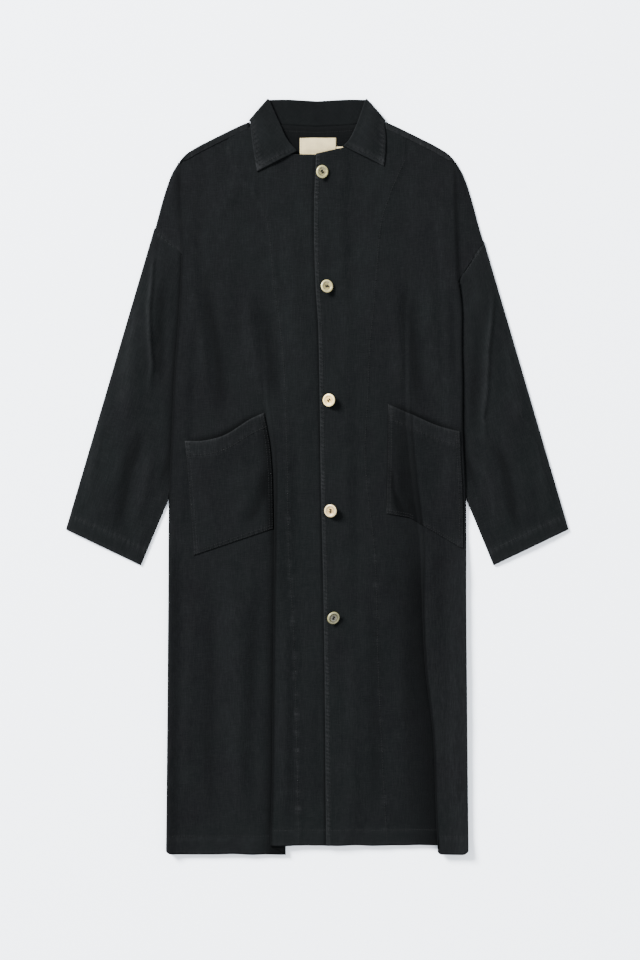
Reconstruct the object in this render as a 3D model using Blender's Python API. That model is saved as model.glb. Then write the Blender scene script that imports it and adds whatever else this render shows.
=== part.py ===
"""Loose single-breasted linen coat, buttoned up and laid flat on its back.

The collar points to +Y, the wearer's right side to -X, and the back lies on the plane Z = 0.
Every length and table below is in millimetres; meshes are made in metres.
A cloth piece is modelled as the middle surface of its cloth and thickened to both sides.
"""
import math

import bpy
import numpy as np

MM = 0.001

# Driving dimensions
CLOTH = 1.2            # thickness of the linen
SEAM = 0.4             # clearance where two pieces are sewn edge to edge
NECK_SEAM = 2.0        # the same at the curved neck seam under the collar
HIDDEN_SEAM = 2.0      # the same where the sleeve is tucked out of sight
ARMHOLE_SEAM = 1.8     # what the armhole seam adds to it between the back and the sleeve
FOLD_RADIUS = 0.9      # tightest bend of the cloth, at its middle surface
LEVEL = 2 * FOLD_RADIUS  # one layer of cloth above the next
BACK_LEVEL = CLOTH / 2
FRONT_LEVEL = BACK_LEVEL + LEVEL
BACK_HEM = -569.0
FRONT_HEM = -571.0     # middle of the hem
SIDE_HEM = -584.7      # the two side stretches hang lower
HEM_ZONE = -500.0      # below this the rows bend towards the hem
TOP_ZONE = 430.0       # above this the rows bend towards shoulder and neck
TOP_ROW = 556.0
SHOULDER_LAP = 11.0    # the back is folded over the shoulder and laps this far onto the front
SHOULDER_TUCK = 5.0    # the front ends this far from the fold, under that lap
SHOULDER_RADIUS = 2 * FOLD_RADIUS
FRONT_LAP = 34.0       # the buttoned fronts overlap by this much
EDGE_ROUND = 1.8       # radius of the turned-down side edges
TUCK = 15.0            # the sleeve slips this far under the side of the body
TUCK_LENGTH = 70.0     # and comes out again over this length
CUFF_OUTER = (389.5, -82.0)
CUFF_INNER = (273.0, -137.5)
BUTTON_DIAMETER = 20.0
BUTTON_THICKNESS = 3.6
LABEL_BOX = (-26.8, 29.2, 500.0, 524.2)   # left, right, bottom, top
TAB_BOX = (30.0, 40.0, 502.0, 510.8)
LABEL_CLOTH = 1.0

# Wearer's right lies at -X and wearer's left at +X
SIGN = {"right": -1.0, "left": 1.0}

# Shoulder fold: distance from the middle, height
SHOULDER = [(87, 555.0), (105, 549.0), (114, 545.5), (140, 533.5), (164, 521.6), (188, 509), (206, 496.5),
            (216, 484)]
# Outer edge of the dropped shoulder: height, distance from the middle
SHOULDER_DROP = [(355, 260.0), (385, 251), (434, 237.5), (460, 228.8), (472, 223.5), (484, 216)]
# Side of the body, which lies over the sleeve above y = -34: height, distance from the middle
SIDE = {
    "right": [(-586, 234.5), (-380, 232.5), (-190, 231), (-34, 229.7), (75, 225), (148, 222), (229, 216),
              (297, 212), (342, 210.5), (418, 214), (484, 215.5)],
    "left": [(-586, 234.5), (-380, 232.5), (-190, 231), (-34, 230.3), (75, 225.5), (148, 225.5), (207, 224.6),
             (262, 224.4), (312, 218.5), (350, 216.4), (418, 214), (484, 214)],
}
# Where the sleeve leaves the body, and the two ends of the armhole seam in sight
SLEEVE_FREE = -34.0
ARMHOLE = {"right": {"outer": 380.5, "inner": 343.0}, "left": {"outer": 360.0, "inner": 300.0}}
# Edge of the upper front: height, x
FRONT_EDGE = [(-586, 13.8), (-160, 9), (-36, 6), (162, 2.8), (238, 1), (283, -2), (345, -4.5), (432, -4.7),
              (500, -2)]
# End of each neckline at the front: x, height
NECK_END = {"right": (34.0, 498.6), "left": (-3.0, 500.6)}

# Pleat that the cloth fell into on each front: height, x of its edge, turn in degrees, overlap
PLEAT = {
    "right": [(-586, -73, 180, 21), (-486, -70, 180, 16), (-346, -68.5, 180, 9), (-191, -67, 172, 2.5),
              (-83, -65.5, 115, 0), (57, -67, 60, 0), (101, -73, 30, 0), (207, -78, 2, 0), (560, -80, 2, 0)],
    "left": [(-586, 187, 180, 14), (-518, 184, 180, 12), (-399, 179.5, 180, 8), (-291, 167, 176, 2.5),
             (-175, 163, 105, 0), (-111, 164.5, 58, 0), (-5, 153, 46, 0), (94, 144.5, 36, 0),
             (238, 145.5, 15, 0), (315, 150, 2, 0), (560, 150, 2, 0)],
}
PLEAT_BEND_LONG = 5.0   # length of each bend of a shallow pleat
PLEAT_FLAT = 1.0        # shortest stretch between its two bends
PLEAT_FALL = 38.0       # the cloth comes down again over this distance
PLEAT_STEPS = 4

# Soft swellings of the fronts: x, y, half width, half length, height
SWELLING = [
    (-150, 290, 46, 125, 3.0),
    (-128, -270, 52, 210, 2.4),
    (-25, 130, 36, 230, 1.8),
    (95, 290, 48, 130, 3.0),
    (92, -290, 50, 220, 2.6),
    (20, -330, 36, 190, 1.4),
]

# Collar from its front end to the middle of the back: seam, roll line and outer edge (x, y each), and the
# turn in degrees from lying over the front (0) to lying under the back (180)
COLLAR = {
    "right": [
        ((-45.3, 502.3), (-37.5, 507.6), (-93.3, 472.0), 0),
        ((-60.8, 514.0), (-47.6, 521.6), (-97.2, 495.0), 0),
        ((-76.3, 534.8), (-59.2, 546.4), (-101.0, 521.0), 0),
        ((-87.0, 550.0), (-75.2, 582.0), (-103.8, 549.1), 0),
        ((-87.0, 550.0), (-75.2, 582.0), (-103.8, 549.1), 180),
        ((-58.0, 543.5), (-45.0, 582.3), (-56.0, 526.5), 180),
        ((0.0, 540.0), (0.0, 579.8), (0.0, 525.0), 180),
    ],
    "left": [
        ((47.7, 512.0), (41.5, 510.7), (103.5, 480.5), 0),
        ((63.2, 521.0), (51.6, 522.5), (105.9, 501.0), 0),
        ((77.2, 535.5), (62.5, 545.0), (106.4, 524.0), 0),
        ((87.0, 550.0), (75.2, 582.0), (103.8, 549.1), 0),
        ((87.0, 550.0), (75.2, 582.0), (103.8, 549.1), 180),
        ((58.0, 543.5), (45.0, 582.3), (56.0, 526.5), 180),
        ((0.0, 540.0), (0.0, 579.8), (0.0, 525.0), 180),
    ],
}
COLLAR_STEPS = (2, 2, 2, 6, 2, 2)
COLLAR_OUTWARD = (0.735, 0.678)   # across the fold at the shoulder, for the wearer's left
COLLAR_BED = (107.0, 522.0, 40.0)  # half width and lower edge of what lies under the back, slope beside it

# Patch pockets: mouth and bottom (x, y), and the two ends of the edge away from the side seam (y, x)
POCKET_MOUTH = {
    "right": [(-205, 55), (-177, 55.5), (-146, 63), (-99.5, 91), (-76, 101.5)],
    "left": [(108, 112.8), (144, 97), (187, 78.5), (229, 67.4)],
}
POCKET_BOTTOM = {
    "right": [(-191, -123), (-68.5, -81.5)],
    "left": [(106, -58), (144, -64.5), (167, -78.5), (222, -111)],
}
POCKET_SIDE = {"right": [(-123, -191), (55, -205)], "left": [(-58, 106.6), (112.4, 109.7)]}
POCKET_INSET = 4.0      # from the side of the body

# Buttons down the front: height, x, tilt in degrees, and which way its raised side points from +X
BUTTONS = [(471, 7, 25, 166), (294, 14.3, 22, 188), (118, 18.8, 23, 5), (-53, 21.2, 20, 10),
           (-218, 24.5, 27, 140)]

# Heights between which the sleeve under it lifts the side of the front: where the lift starts, is full, ends
SLEEVE_LIFT = (-110.0, -40.0, 350.0, 460.0)
SLEEVE_LIFT_MARGIN = 3.0   # the lift reaches past the tucked sleeve by this much
SLEEVE_LIFT_SLOPE = 16.0   # and fades over this width
LAP_MARGIN = 4.0           # the same for the upper front over the lower one
LAP_SLOPE = 20.0
LAP_TOP = (512.0, 522.0)   # heights over which that lift fades at the neck

CORNER_RISE = 6.0      # rounding of the hem's outer corners
CORNER_WIDTH = 9.0
EDGE_FOOT = 0.75       # the free side edges end this far above the floor
EDGE_DROP = 0.3        # a side edge that lies on the sleeve turns down by this much
EDGE_FREE = (-62.0, -46.0)   # heights between which the side edge changes from one to the other
WING_TOP = 485.0       # where the edge of the dropped shoulder starts below the shoulder fold
WING_FALL = 9.0        # the dropped shoulder comes down from the body over this width

LINEN = (0.016, 0.018, 0.019)
SHELL = (0.55, 0.46, 0.34)
TAPE = (0.74, 0.70, 0.62)


def clear_scene():
    for item in list(bpy.data.objects):
        bpy.data.objects.remove(item, do_unlink=True)


def material(name, color, roughness):
    made = bpy.data.materials.new(name)
    made.use_nodes = True
    shader = made.node_tree.nodes["Principled BSDF"]
    shader.inputs["Base Color"].default_value = (*color, 1.0)
    shader.inputs["Roughness"].default_value = roughness
    shader.inputs["Metallic"].default_value = 0.0
    return made


def smooth(t):
    t = min(max(t, 0.0), 1.0)
    return t * t * (3.0 - 2.0 * t)


def ramp(value, low, high):
    """0 below low, 1 above high and smooth in between."""
    return smooth((value - low) / (high - low))


def mix(a, b, t):
    return a + (b - a) * t


def read(rows, at, column=1):
    """Value of a table's column at a place along its first column, level past both ends."""
    keys = np.array([row[0] for row in rows], float)
    values = np.array([row[column] for row in rows], float)
    return float(np.interp(at, keys, values))


def spline(points, t):
    """Point on a smooth curve through the given points, t running from 0 to their count less one."""
    count = len(points)
    k = min(int(t), count - 2)
    f = t - k
    p1 = np.array(points[k], float)
    p2 = np.array(points[k + 1], float)
    p0 = np.array(points[k - 1], float) if k > 0 else 2 * p1 - p2
    p3 = np.array(points[k + 2], float) if k + 2 < count else 2 * p2 - p1
    return 0.5 * (2 * p1 + (p2 - p0) * f + (2 * p0 - 5 * p1 + 4 * p2 - p3) * f ** 2
                  + (3 * p1 - p0 - 3 * p2 + p3) * f ** 3)


# Heights of the layers

def bed(x, y):
    """How far the collar under the back lifts the cloth that lies on it."""
    half_width, bottom, slope = COLLAR_BED
    aside = max(abs(x) - half_width, 0.0)
    below = max(bottom - y, 0.0)
    return LEVEL * (1.0 - smooth(math.hypot(aside, below) / slope))


def swelling(x, y):
    total = 0.0
    for center_x, center_y, half_x, half_y, height in SWELLING:
        reach = ((x - center_x) / half_x) ** 2 + ((y - center_y) / half_y) ** 2
        if reach < 1.0:
            total += height * (1.0 - reach) ** 2
    return total


def sleeve_lift(side, x, y):
    """How far the sleeve tucked under it lifts the side of the front."""
    inside = read(SIDE[side], y) - abs(x)
    start, full, fade, end = SLEEVE_LIFT
    along = ramp(y, start, full) * (1.0 - ramp(y, fade, end))
    return LEVEL * along * (1.0 - smooth((inside - TUCK - SLEEVE_LIFT_MARGIN) / SLEEVE_LIFT_SLOPE))


def lap_lift(side, x, y):
    """How far the lower front lifts the upper one, the wearer's left."""
    if side == "right":
        return 0.0
    past = x - read(FRONT_EDGE, y) - FRONT_LAP - LAP_MARGIN
    return LEVEL * (1.0 - smooth(past / LAP_SLOPE)) * (1.0 - ramp(y, *LAP_TOP))


def back_height(x, y):
    return BACK_LEVEL + bed(x, y)


def front_height(side, x, y):
    return FRONT_LEVEL + bed(x, y) + swelling(x, y) + sleeve_lift(side, x, y) + lap_lift(side, x, y)


# Pleats of the fronts

def pleat(side, y):
    """Section of the pleat at one height: its points (x, z, tilt), its rise and its overlap."""
    turn = math.radians(read(PLEAT[side], y, 2))
    overlap = read(PLEAT[side], y, 3)
    bend = mix(PLEAT_BEND_LONG, FOLD_RADIUS * math.pi, turn / math.pi)
    radius = bend / turn
    flat = PLEAT_FLAT + overlap
    end = read(PLEAT[side], y) + radius * (1.0 - math.cos(turn)) / 2.0
    start = end - 2.0 * radius * math.sin(turn) - flat * math.cos(turn)
    points = []
    for k in range(PLEAT_STEPS + 1):
        tilt = turn * k / PLEAT_STEPS
        points.append((start + radius * math.sin(tilt), radius * (1.0 - math.cos(tilt)), tilt))
    rise = flat * math.sin(turn) + 2.0 * radius * (1.0 - math.cos(turn))
    for k in range(PLEAT_STEPS, -1, -1):
        tilt = turn * k / PLEAT_STEPS
        points.append((end - radius * math.sin(tilt), rise - radius * (1.0 - math.cos(tilt)), tilt))
    return points, rise, overlap


def front_limits(side, y):
    """Left and right edge of a front at one height."""
    edge = read(FRONT_EDGE, y)
    body_side = SIGN[side] * read(SIDE[side], y)
    if side == "right":
        return body_side, edge + FRONT_LAP
    return edge, body_side


def front_point(side, zone, place, y, out=0.0):
    """Point of a front: place is a share of the zone low or top, a step of the pleat, or a function of y."""
    left, right = front_limits(side, y)
    points, rise, overlap = pleat(side, y)
    tilt = 0.0
    if zone == "pleat":
        x, z, tilt = points[place]
    elif zone == "low":
        x = place(y) if callable(place) else mix(left, points[0][0], place)
        z = 0.0
    else:
        x = place(y) if callable(place) else mix(points[-1][0], right, place)
        z = rise * (1.0 - smooth((x - points[-1][0] - overlap) / PLEAT_FALL))
    z += front_height(side, x, y)
    return x - out * math.sin(tilt), y, z + out * math.cos(tilt)


def neck_curve(side, over_back):
    """Seam line of the collar on one side, over the back or over the front, from low x to high x."""
    seam = [station[0] for station in COLLAR[side]]
    stations = (4, 6) if over_back else (0, 3)
    steps = np.linspace(stations[0], stations[1], 25)
    points = [tuple(spline(seam, t)) for t in steps]
    if not over_back:
        points.append(NECK_END[side])
    return sorted(points)


NECK_FRONT = {side: neck_curve(side, False) for side in SIGN}
NECK_BACK = {side: neck_curve(side, True) for side in SIGN}


def shoulder(x):
    return read(SHOULDER, abs(x))


def back_top(x):
    if abs(x) > SHOULDER[0][0]:
        return shoulder(x)
    side = "left" if x > 0 else "right"
    return read(NECK_BACK[side], x) - NECK_SEAM / 2


def back_flat_top(x):
    """Top of the flat back: its neck edge, or where the shoulder fold begins."""
    if abs(x) < COLLAR_BED[0]:
        return back_top(x)
    return back_top(x) - SHOULDER_RADIUS - CLOTH / 2


def front_top(side, x):
    tucked = shoulder(x) - SHOULDER_TUCK
    if abs(x) > SHOULDER[0][0]:
        return tucked
    return min(tucked, read(NECK_FRONT[side], x) - NECK_SEAM)


def front_hem(side, zone, place, x, y):
    """Height of the hem: the side stretch hangs lower than the middle, and its corner is rounded."""
    lower_zone = "low" if side == "right" else "top"
    corner = CORNER_RISE * (1.0 - smooth((read(SIDE[side], y) - abs(x)) / CORNER_WIDTH))
    if zone == "pleat":
        before = place <= PLEAT_STEPS
        return SIDE_HEM if before == (side == "right") else FRONT_HEM
    return SIDE_HEM + corner if zone == lower_zone else FRONT_HEM


def settled(row_y, point_at, top_at, hem_at):
    """Moves a row's point so that the top row meets the top edge and the last one the hem."""
    y = row_y
    for _ in range(3):
        x = point_at(y)[0]
        y = row_y
        if row_y > TOP_ZONE:
            y = TOP_ZONE + (row_y - TOP_ZONE) * (top_at(x) - TOP_ZONE) / (TOP_ROW - TOP_ZONE)
        elif row_y < HEM_ZONE:
            y = HEM_ZONE + (row_y - HEM_ZONE) * (hem_at(x, y) - HEM_ZONE) / (FRONT_HEM - HEM_ZONE)
    return point_at(y)


# Building meshes

class Surface:
    """Points and quads of a middle surface."""

    def __init__(self):
        self.points = []
        self.faces = []

    def add(self, point):
        self.points.append(tuple(float(value) * MM for value in point))
        return len(self.points) - 1

    def add_rows(self, rows):
        return [[self.add(point) for point in row] for row in rows]

    def join(self, rows, closed=False):
        """Quads between rows that run to +X, listed from the top down, so that they face up."""
        for upper, lower in zip(rows, rows[1:]):
            count = len(upper)
            for j in range(count if closed else count - 1):
                k = (j + 1) % count
                self.faces.append((upper[j], lower[j], lower[k], upper[k]))


def cloth(name, surface, finish, thickness=CLOTH):
    mesh = bpy.data.meshes.new(name)
    mesh.from_pydata(surface.points, [], surface.faces)
    mesh.shade_smooth()
    made = bpy.data.objects.new(name, mesh)
    bpy.context.collection.objects.link(made)
    made.data.materials.append(finish)
    wall = made.modifiers.new("cloth", "SOLIDIFY")
    wall.thickness = thickness * MM
    wall.offset = 0.0
    wall.use_even_offset = True
    return made


def armhole_outer(side):
    y = ARMHOLE[side]["outer"]
    return SIGN[side] * read(SHOULDER_DROP, y), y


def armhole_inner(side):
    y = ARMHOLE[side]["inner"]
    return SIGN[side] * read(SIDE[side], y), y


def armhole_hidden(side):
    """The armhole seam runs on under the body to the tucked edge of the sleeve."""
    outer_x, outer_y = armhole_outer(side)
    inner_x, inner_y = armhole_inner(side)
    slope = (inner_y - outer_y) / (inner_x - outer_x)
    x = inner_x - SIGN[side] * TUCK
    return x, inner_y + slope * (x - inner_x)


def sleeve_inner_x(side, y):
    """Inner edge of the sleeve: tucked under the body, then free down to the cuff."""
    if y < SLEEVE_FREE:
        free_x = read(SIDE[side], SLEEVE_FREE)
        share = (SLEEVE_FREE - y) / (SLEEVE_FREE - CUFF_INNER[1])
        return SIGN[side] * mix(free_x, CUFF_INNER[0], share)
    tuck = TUCK * smooth((y - SLEEVE_FREE) / TUCK_LENGTH)
    return SIGN[side] * (read(SIDE[side], y) - tuck)


def back_limit(side, y):
    """Edge of the back: side seam, tucked sleeve, armhole seam and dropped shoulder."""
    clear = 2 * SEAM + CLOTH + EDGE_ROUND / 2
    hidden_x, hidden_y = armhole_hidden(side)
    outer_x, outer_y = armhole_outer(side)
    if y < SLEEVE_FREE:
        return SIGN[side] * (read(SIDE[side], y) - clear)
    if y < hidden_y:
        return sleeve_inner_x(side, y) - SIGN[side] * HIDDEN_SEAM
    if y < outer_y:
        start_x = hidden_x - SIGN[side] * (HIDDEN_SEAM + ARMHOLE_SEAM)
        end_x = outer_x - SIGN[side] * (clear + ARMHOLE_SEAM)
        return mix(start_x, end_x, (y - hidden_y) / (outer_y - hidden_y))
    return SIGN[side] * (read(SHOULDER_DROP, y) - clear)


BACK_NECK_SHARE = 0.244   # the column where the collar covers the shoulder


def build_back(finish):
    surface = Surface()
    shares = [0, 0.05, 0.12, 0.18, BACK_NECK_SHARE, 0.298, 0.36, 0.43, 0.5]
    shares += [1.0 - share for share in reversed(shares[:-1])]
    seam_rows = [armhole_hidden(side)[1] + SEAM for side in SIGN]
    seam_rows += [ARMHOLE[side]["outer"] + SEAM for side in SIGN]
    plain_rows = [BACK_HEM, -420, -260, -110, -40, SLEEVE_FREE, 0, 36, 75, 150, 220, 250, 312, 405]
    plain_rows.append(TOP_ZONE)
    top_rows = [456, 482, 506, 530, 545, TOP_ROW]
    rows = []
    for row_y in sorted(plain_rows + seam_rows + top_rows, reverse=True):
        row = []
        for share in shares:
            def at(y):
                x = mix(back_limit("right", y), back_limit("left", y), share)
                return x, y, back_height(x, y)
            row.append(settled(row_y, at, back_flat_top, lambda x, y: FRONT_HEM))
        rows.append(row)
    grid = surface.add_rows(rows)
    surface.join(grid)
    # Each shoulder is folded over to the front
    neck_column = shares.index(BACK_NECK_SHARE)
    for columns in (range(neck_column + 1), range(len(shares) - neck_column - 1, len(shares))):
        folded = [[grid[0][j] for j in columns]]
        for k in range(1, 6):
            turn = math.pi * k / 5
            line = []
            for j in columns:
                x, y, z = rows[0][j]
                y += SHOULDER_RADIUS * math.sin(turn)
                line.append(surface.add((x, y, z + SHOULDER_RADIUS * (1 - math.cos(turn)))))
            folded.insert(0, line)
        lap_edge = []
        for j in columns:
            x = rows[0][j][0]
            y = shoulder(x) - SHOULDER_LAP
            lap_edge.append(surface.add((x, y, back_height(x, y) + 2 * LEVEL)))
        folded.insert(0, lap_edge)
        surface.join(folded)
    return cloth("back", surface, finish)


FRONT_COLUMNS = {
    "right": {"low": (0, 0.12, 0.21, 0.32, 0.5, 0.7, 0.86), "top": (0.1, 0.2, 0.3, 0.45, 0.62, 0.8, 1.0)},
    "left": {"low": (0, 0.12, 0.24, 0.355, 0.44, 0.53, 0.62, 0.75, 0.88),
             "top": (0.15, 0.35, 0.55, 0.68, 0.8, 1.0)},
}
FRONT_ROWS = [TOP_ROW, 536, 510, 482, 456, TOP_ZONE, 390, 343, 300, 255, 207, 160, 112, 78, 40, 0, -40, -62,
              -90, -120, -160, -200, -260, -330, -399, -450, HEM_ZONE, -540, FRONT_HEM]


def front_columns(side):
    """Columns of a front from left to right, as zone and place."""
    columns = [("low", place) for place in FRONT_COLUMNS[side]["low"]]
    columns += [("pleat", step) for step in range(2 * PLEAT_STEPS + 2)]
    columns += [("top", place) for place in FRONT_COLUMNS[side]["top"]]
    return columns


def turned_edge(side, point, drop):
    """Points that turn the side edge of a front down, from the edge outwards."""
    x, y, z = point
    made = []
    for k in (1, 2, 3):
        turn = math.pi / 2 * k / 3
        made.append((x + SIGN[side] * EDGE_ROUND * math.sin(turn), y, z - drop * (1 - math.cos(turn))))
    return made


def side_drop(y):
    """How far the side edge turns down: to the floor, or just onto the sleeve."""
    return mix(FRONT_LEVEL - EDGE_FOOT, EDGE_DROP, ramp(y, *EDGE_FREE))


def inset(side, point):
    """The turned edge stands outside this point, which so lies inside the outline."""
    x, y, z = point
    return x - SIGN[side] * (EDGE_ROUND + CLOTH / 2), y, z


def build_front(side, finish):
    surface = Surface()
    columns = front_columns(side)
    edge_column = 0 if side == "right" else len(columns) - 1
    rows = []
    for row_y in FRONT_ROWS:
        row = []
        for j, (zone, place) in enumerate(columns):
            def at(y):
                return front_point(side, zone, place, y)
            point = settled(row_y, at, lambda x: front_top(side, x),
                            lambda x, y: front_hem(side, zone, place, x, y))
            row.append(inset(side, point) if j == edge_column else point)
        rows.append(row)
    grid = surface.add_rows(rows)
    surface.join(grid)

    # The dropped shoulder beside the body, from the shoulder fold to the armhole seam
    last = FRONT_ROWS.index(ARMHOLE[side]["inner"])
    wing = []
    for i in range(last + 1):
        edge_x, edge_y, edge_z = rows[i][edge_column]
        share = i / last
        outer_y = mix(WING_TOP, ARMHOLE[side]["outer"], share)
        outer_x = SIGN[side] * (read(SHOULDER_DROP, outer_y) - EDGE_ROUND - CLOTH / 2)
        reach = math.hypot(outer_x - edge_x, outer_y - edge_y)
        line = []
        for step in (0.16, 0.34, 0.6, 1.0):
            x = mix(edge_x, outer_x, step)
            y = mix(edge_y, outer_y, step)
            level = FRONT_LEVEL + bed(x, y)
            line.append((x, y, mix(edge_z, level, smooth(step * reach / WING_FALL))))
        line += turned_edge(side, line[-1], FRONT_LEVEL - EDGE_FOOT)
        ids = [grid[i][edge_column]] + [surface.add(point) for point in line]
        wing.append(ids[::-1] if side == "right" else ids)
    surface.join(wing)

    # The side edge below it turns down onto the sleeve, and further down to the floor
    turned = []
    for i in range(last + 1, len(rows)):
        point = rows[i][edge_column]
        ids = [grid[i][edge_column]]
        ids += [surface.add(made) for made in turned_edge(side, point, side_drop(point[1]))]
        turned.append(ids[::-1] if side == "right" else ids)
    surface.join(turned)
    return cloth("front_" + side, surface, finish)


SLEEVE_ROWS = (0, 0.06, 0.16, 0.28, 0.4, 0.52, 0.64, 0.76, 0.84, 0.92, 1.0)
SLEEVE_SHARES = (0.1, 0.22, 0.36, 0.5, 0.64, 0.78, 0.9)
SLEEVE_RIDGE = 1.8     # height of the soft ridge along the sleeve
RIDGE_PLACE = 0.36     # its share of the sleeve's width
RIDGE_WIDTH = 0.16
SLEEVE_SWELL = 1.6     # height of the swelling beside it
SWELL_WIDTH = 0.7      # share of the sleeve's width from the outer edge
CUFF_PRESS = 0.5       # share of both heights that is left at the cuff


def sleeve_height(share, along):
    """Height of the upper layer over the lower one, with one soft ridge near the outer edge."""
    ridge = math.exp(-((share - RIDGE_PLACE) / RIDGE_WIDTH) ** 2)
    ridge *= ramp(along, 0.0, 0.2) * (1.0 - 0.6 * ramp(along, 0.5, 1.0))
    swell = math.sin(math.pi * min(share / SWELL_WIDTH, 1.0)) * ramp(along, 0.0, 0.3)
    press = mix(1.0, CUFF_PRESS, ramp(along, 0.85, 1.0))
    return (SLEEVE_RIDGE * ridge + SLEEVE_SWELL * swell) * press


def sleeve_outer(side, along):
    start_x, start_y = armhole_outer(side)
    x = mix(start_x, SIGN[side] * CUFF_OUTER[0], along)
    return np.array((x, mix(start_y, CUFF_OUTER[1], along)))


def sleeve_inner(side, along):
    y = mix(armhole_hidden(side)[1], CUFF_INNER[1], along)
    return np.array((sleeve_inner_x(side, y), y))


def armhole_y(side, x):
    """Height of the sleeve's sewn edge, just below the edge of the dropped shoulder."""
    outer_x, outer_y = armhole_outer(side)
    inner_x, inner_y = armhole_inner(side)
    slope = (outer_y - inner_y) / (abs(outer_x) - abs(inner_x))
    edge = inner_y + slope * (abs(x) - abs(inner_x) + EDGE_ROUND + CLOTH / 2)
    return min(edge, outer_y) - 2 * SEAM * math.hypot(1.0, slope)


def sleeve_edge(side, along, edge):
    """Point on one edge of the sleeve, and the way that points out of the sleeve there."""
    step = 0.02
    run = edge(side, min(along + step, 1.0)) - edge(side, max(along - step, 0.0))
    way = np.array((run[1], -run[0])) / np.linalg.norm(run)
    middle = (sleeve_outer(side, along) + sleeve_inner(side, along)) / 2
    if np.dot(way, edge(side, along) - middle) < 0:
        way = -way
    return edge(side, along), way


def build_sleeve(side, finish):
    """A flattened tube: upper layer, inner fold, lower layer on the floor and outer fold."""
    surface = Surface()
    rows = []
    for along in SLEEVE_ROWS:
        outer, outer_way = sleeve_edge(side, along, sleeve_outer)
        inner, inner_way = sleeve_edge(side, along, sleeve_inner)
        start = outer - outer_way * (FOLD_RADIUS + CLOTH / 2)
        end = inner - inner_way * (FOLD_RADIUS + CLOTH / 2)
        if along == 0:
            start[1] = armhole_y(side, start[0])
            end[1] = armhole_y(side, end[0])
        ring = []
        for share in SLEEVE_SHARES:
            ring.append((*mix(start, end, share), FRONT_LEVEL + sleeve_height(share, along)))
        for k in range(6):
            turn = math.pi * k / 5
            place = end + inner_way * FOLD_RADIUS * math.sin(turn)
            ring.append((*place, BACK_LEVEL + FOLD_RADIUS * (1 + math.cos(turn))))
        for share in SLEEVE_SHARES[::-3]:
            ring.append((*mix(start, end, share), BACK_LEVEL))
        for k in range(6):
            turn = math.pi * k / 5
            place = start + outer_way * FOLD_RADIUS * math.sin(turn)
            ring.append((*place, BACK_LEVEL + FOLD_RADIUS * (1 - math.cos(turn))))
        rows.append(ring if side == "right" else ring[::-1])
    surface.join(surface.add_rows(rows), closed=True)
    return cloth("sleeve_" + side, surface, finish)


def collar_section(side, place):
    """Middle surface across the collar at one place: stand, roll and fall."""
    stations = COLLAR[side]
    seam, roll, outer = (spline([row[k] for row in stations], place) for k in range(3))
    k = min(int(place), len(stations) - 2)
    turn = math.radians(mix(stations[k][3], stations[k + 1][3], place - k))
    if 3 <= place <= 4:
        seam, roll, outer = (np.array(stations[3][k], float) for k in range(3))
    outward = np.array((SIGN[side] * COLLAR_OUTWARD[0], COLLAR_OUTWARD[1]))
    stand = (roll - seam) / np.linalg.norm(roll - seam)
    fall = (outer - roll) / np.linalg.norm(outer - roll)
    plan = [(mix(seam, roll, share), 1.0) for share in (0, 0.5)]
    for k in range(6):
        bend = math.pi * k / 5
        direction = mix(stand, -fall, k / 5)
        plan.append((roll + direction * FOLD_RADIUS * math.sin(bend), 2.0 - math.cos(bend)))
    plan += [(mix(roll, outer, share), 3.0) for share in (0.3, 0.65, 1.0)]
    points = []
    for spot, level in plan:
        away = level * FOLD_RADIUS
        x, y = spot + outward * away * math.sin(turn)
        middle = front_height(side, *spot) - FOLD_RADIUS
        points.append((x, y, middle + away * math.cos(turn)))
    return points


def build_collar(finish):
    surface = Surface()
    places = [0.0]
    for k, steps in enumerate(COLLAR_STEPS):
        places += [k + (step + 1) / steps for step in range(steps)]
    sections = [collar_section("right", place) for place in places]
    sections += [collar_section("left", place) for place in reversed(places[:-1])]
    ids = [[surface.add(point) for point in section] for section in sections]
    columns = [list(row) for row in zip(*ids)]
    surface.join(columns[::-1])
    return cloth("collar", surface, finish)


def build_pocket(side, finish):
    """A patch on the front, made from the front's own points moved out by one layer."""
    surface = Surface()
    out = CLOTH + SEAM
    if side == "right":
        columns = [("low", lambda y: read(POCKET_SIDE[side], y))]
        columns += [("low", place) for place in FRONT_COLUMNS[side]["low"][3:]]
        columns.append(("low", lambda y: pleat(side, y)[0][0][0] - SEAM))
    else:
        columns = [("low", lambda y: read(POCKET_SIDE[side], y))]
        columns += [("low", place) for place in FRONT_COLUMNS[side]["low"][-1:]]
        columns += [("pleat", step) for step in range(2 * PLEAT_STEPS + 2)]
        columns += [("top", place) for place in FRONT_COLUMNS[side]["top"][:-1]]
        columns.append(("top", lambda y: read(SIDE[side], y) - POCKET_INSET))
    rows = [[] for _ in range(8)]
    for zone, place in columns:
        def at(y):
            return front_point(side, zone, place, y, out)
        top = bottom = 0.0
        for _ in range(4):
            top = read(POCKET_MOUTH[side], at(top)[0])
            bottom = read(POCKET_BOTTOM[side], at(bottom)[0])
        for i, row in enumerate(rows):
            row.append(at(mix(top, bottom, i / (len(rows) - 1))))
    surface.join(surface.add_rows(rows))
    return cloth("pocket_" + side, surface, finish)


def build_label(name, box, finish):
    """A woven tape sewn inside the back of the neck."""
    surface = Surface()
    left, right, bottom, top = box
    out = (CLOTH + LABEL_CLOTH) / 2 + SEAM
    rows = []
    for y in np.linspace(top, bottom, 6):
        rows.append([(x, y, back_height(x, y) + out) for x in np.linspace(left, right, 4)])
    surface.join(surface.add_rows(rows))
    return cloth(name, surface, finish, LABEL_CLOTH)


# Half section of a button from its middle over its rim to the underside: share of radius, of thickness
BUTTON_TOP = [(0.34, 0.62), (0.58, 0.66), (0.68, 0.92), (0.80, 1.0), (0.93, 0.88), (1.0, 0.6), (0.94, 0.22),
              (0.62, 0.0)]
BUTTON_SIDES = 16


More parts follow.
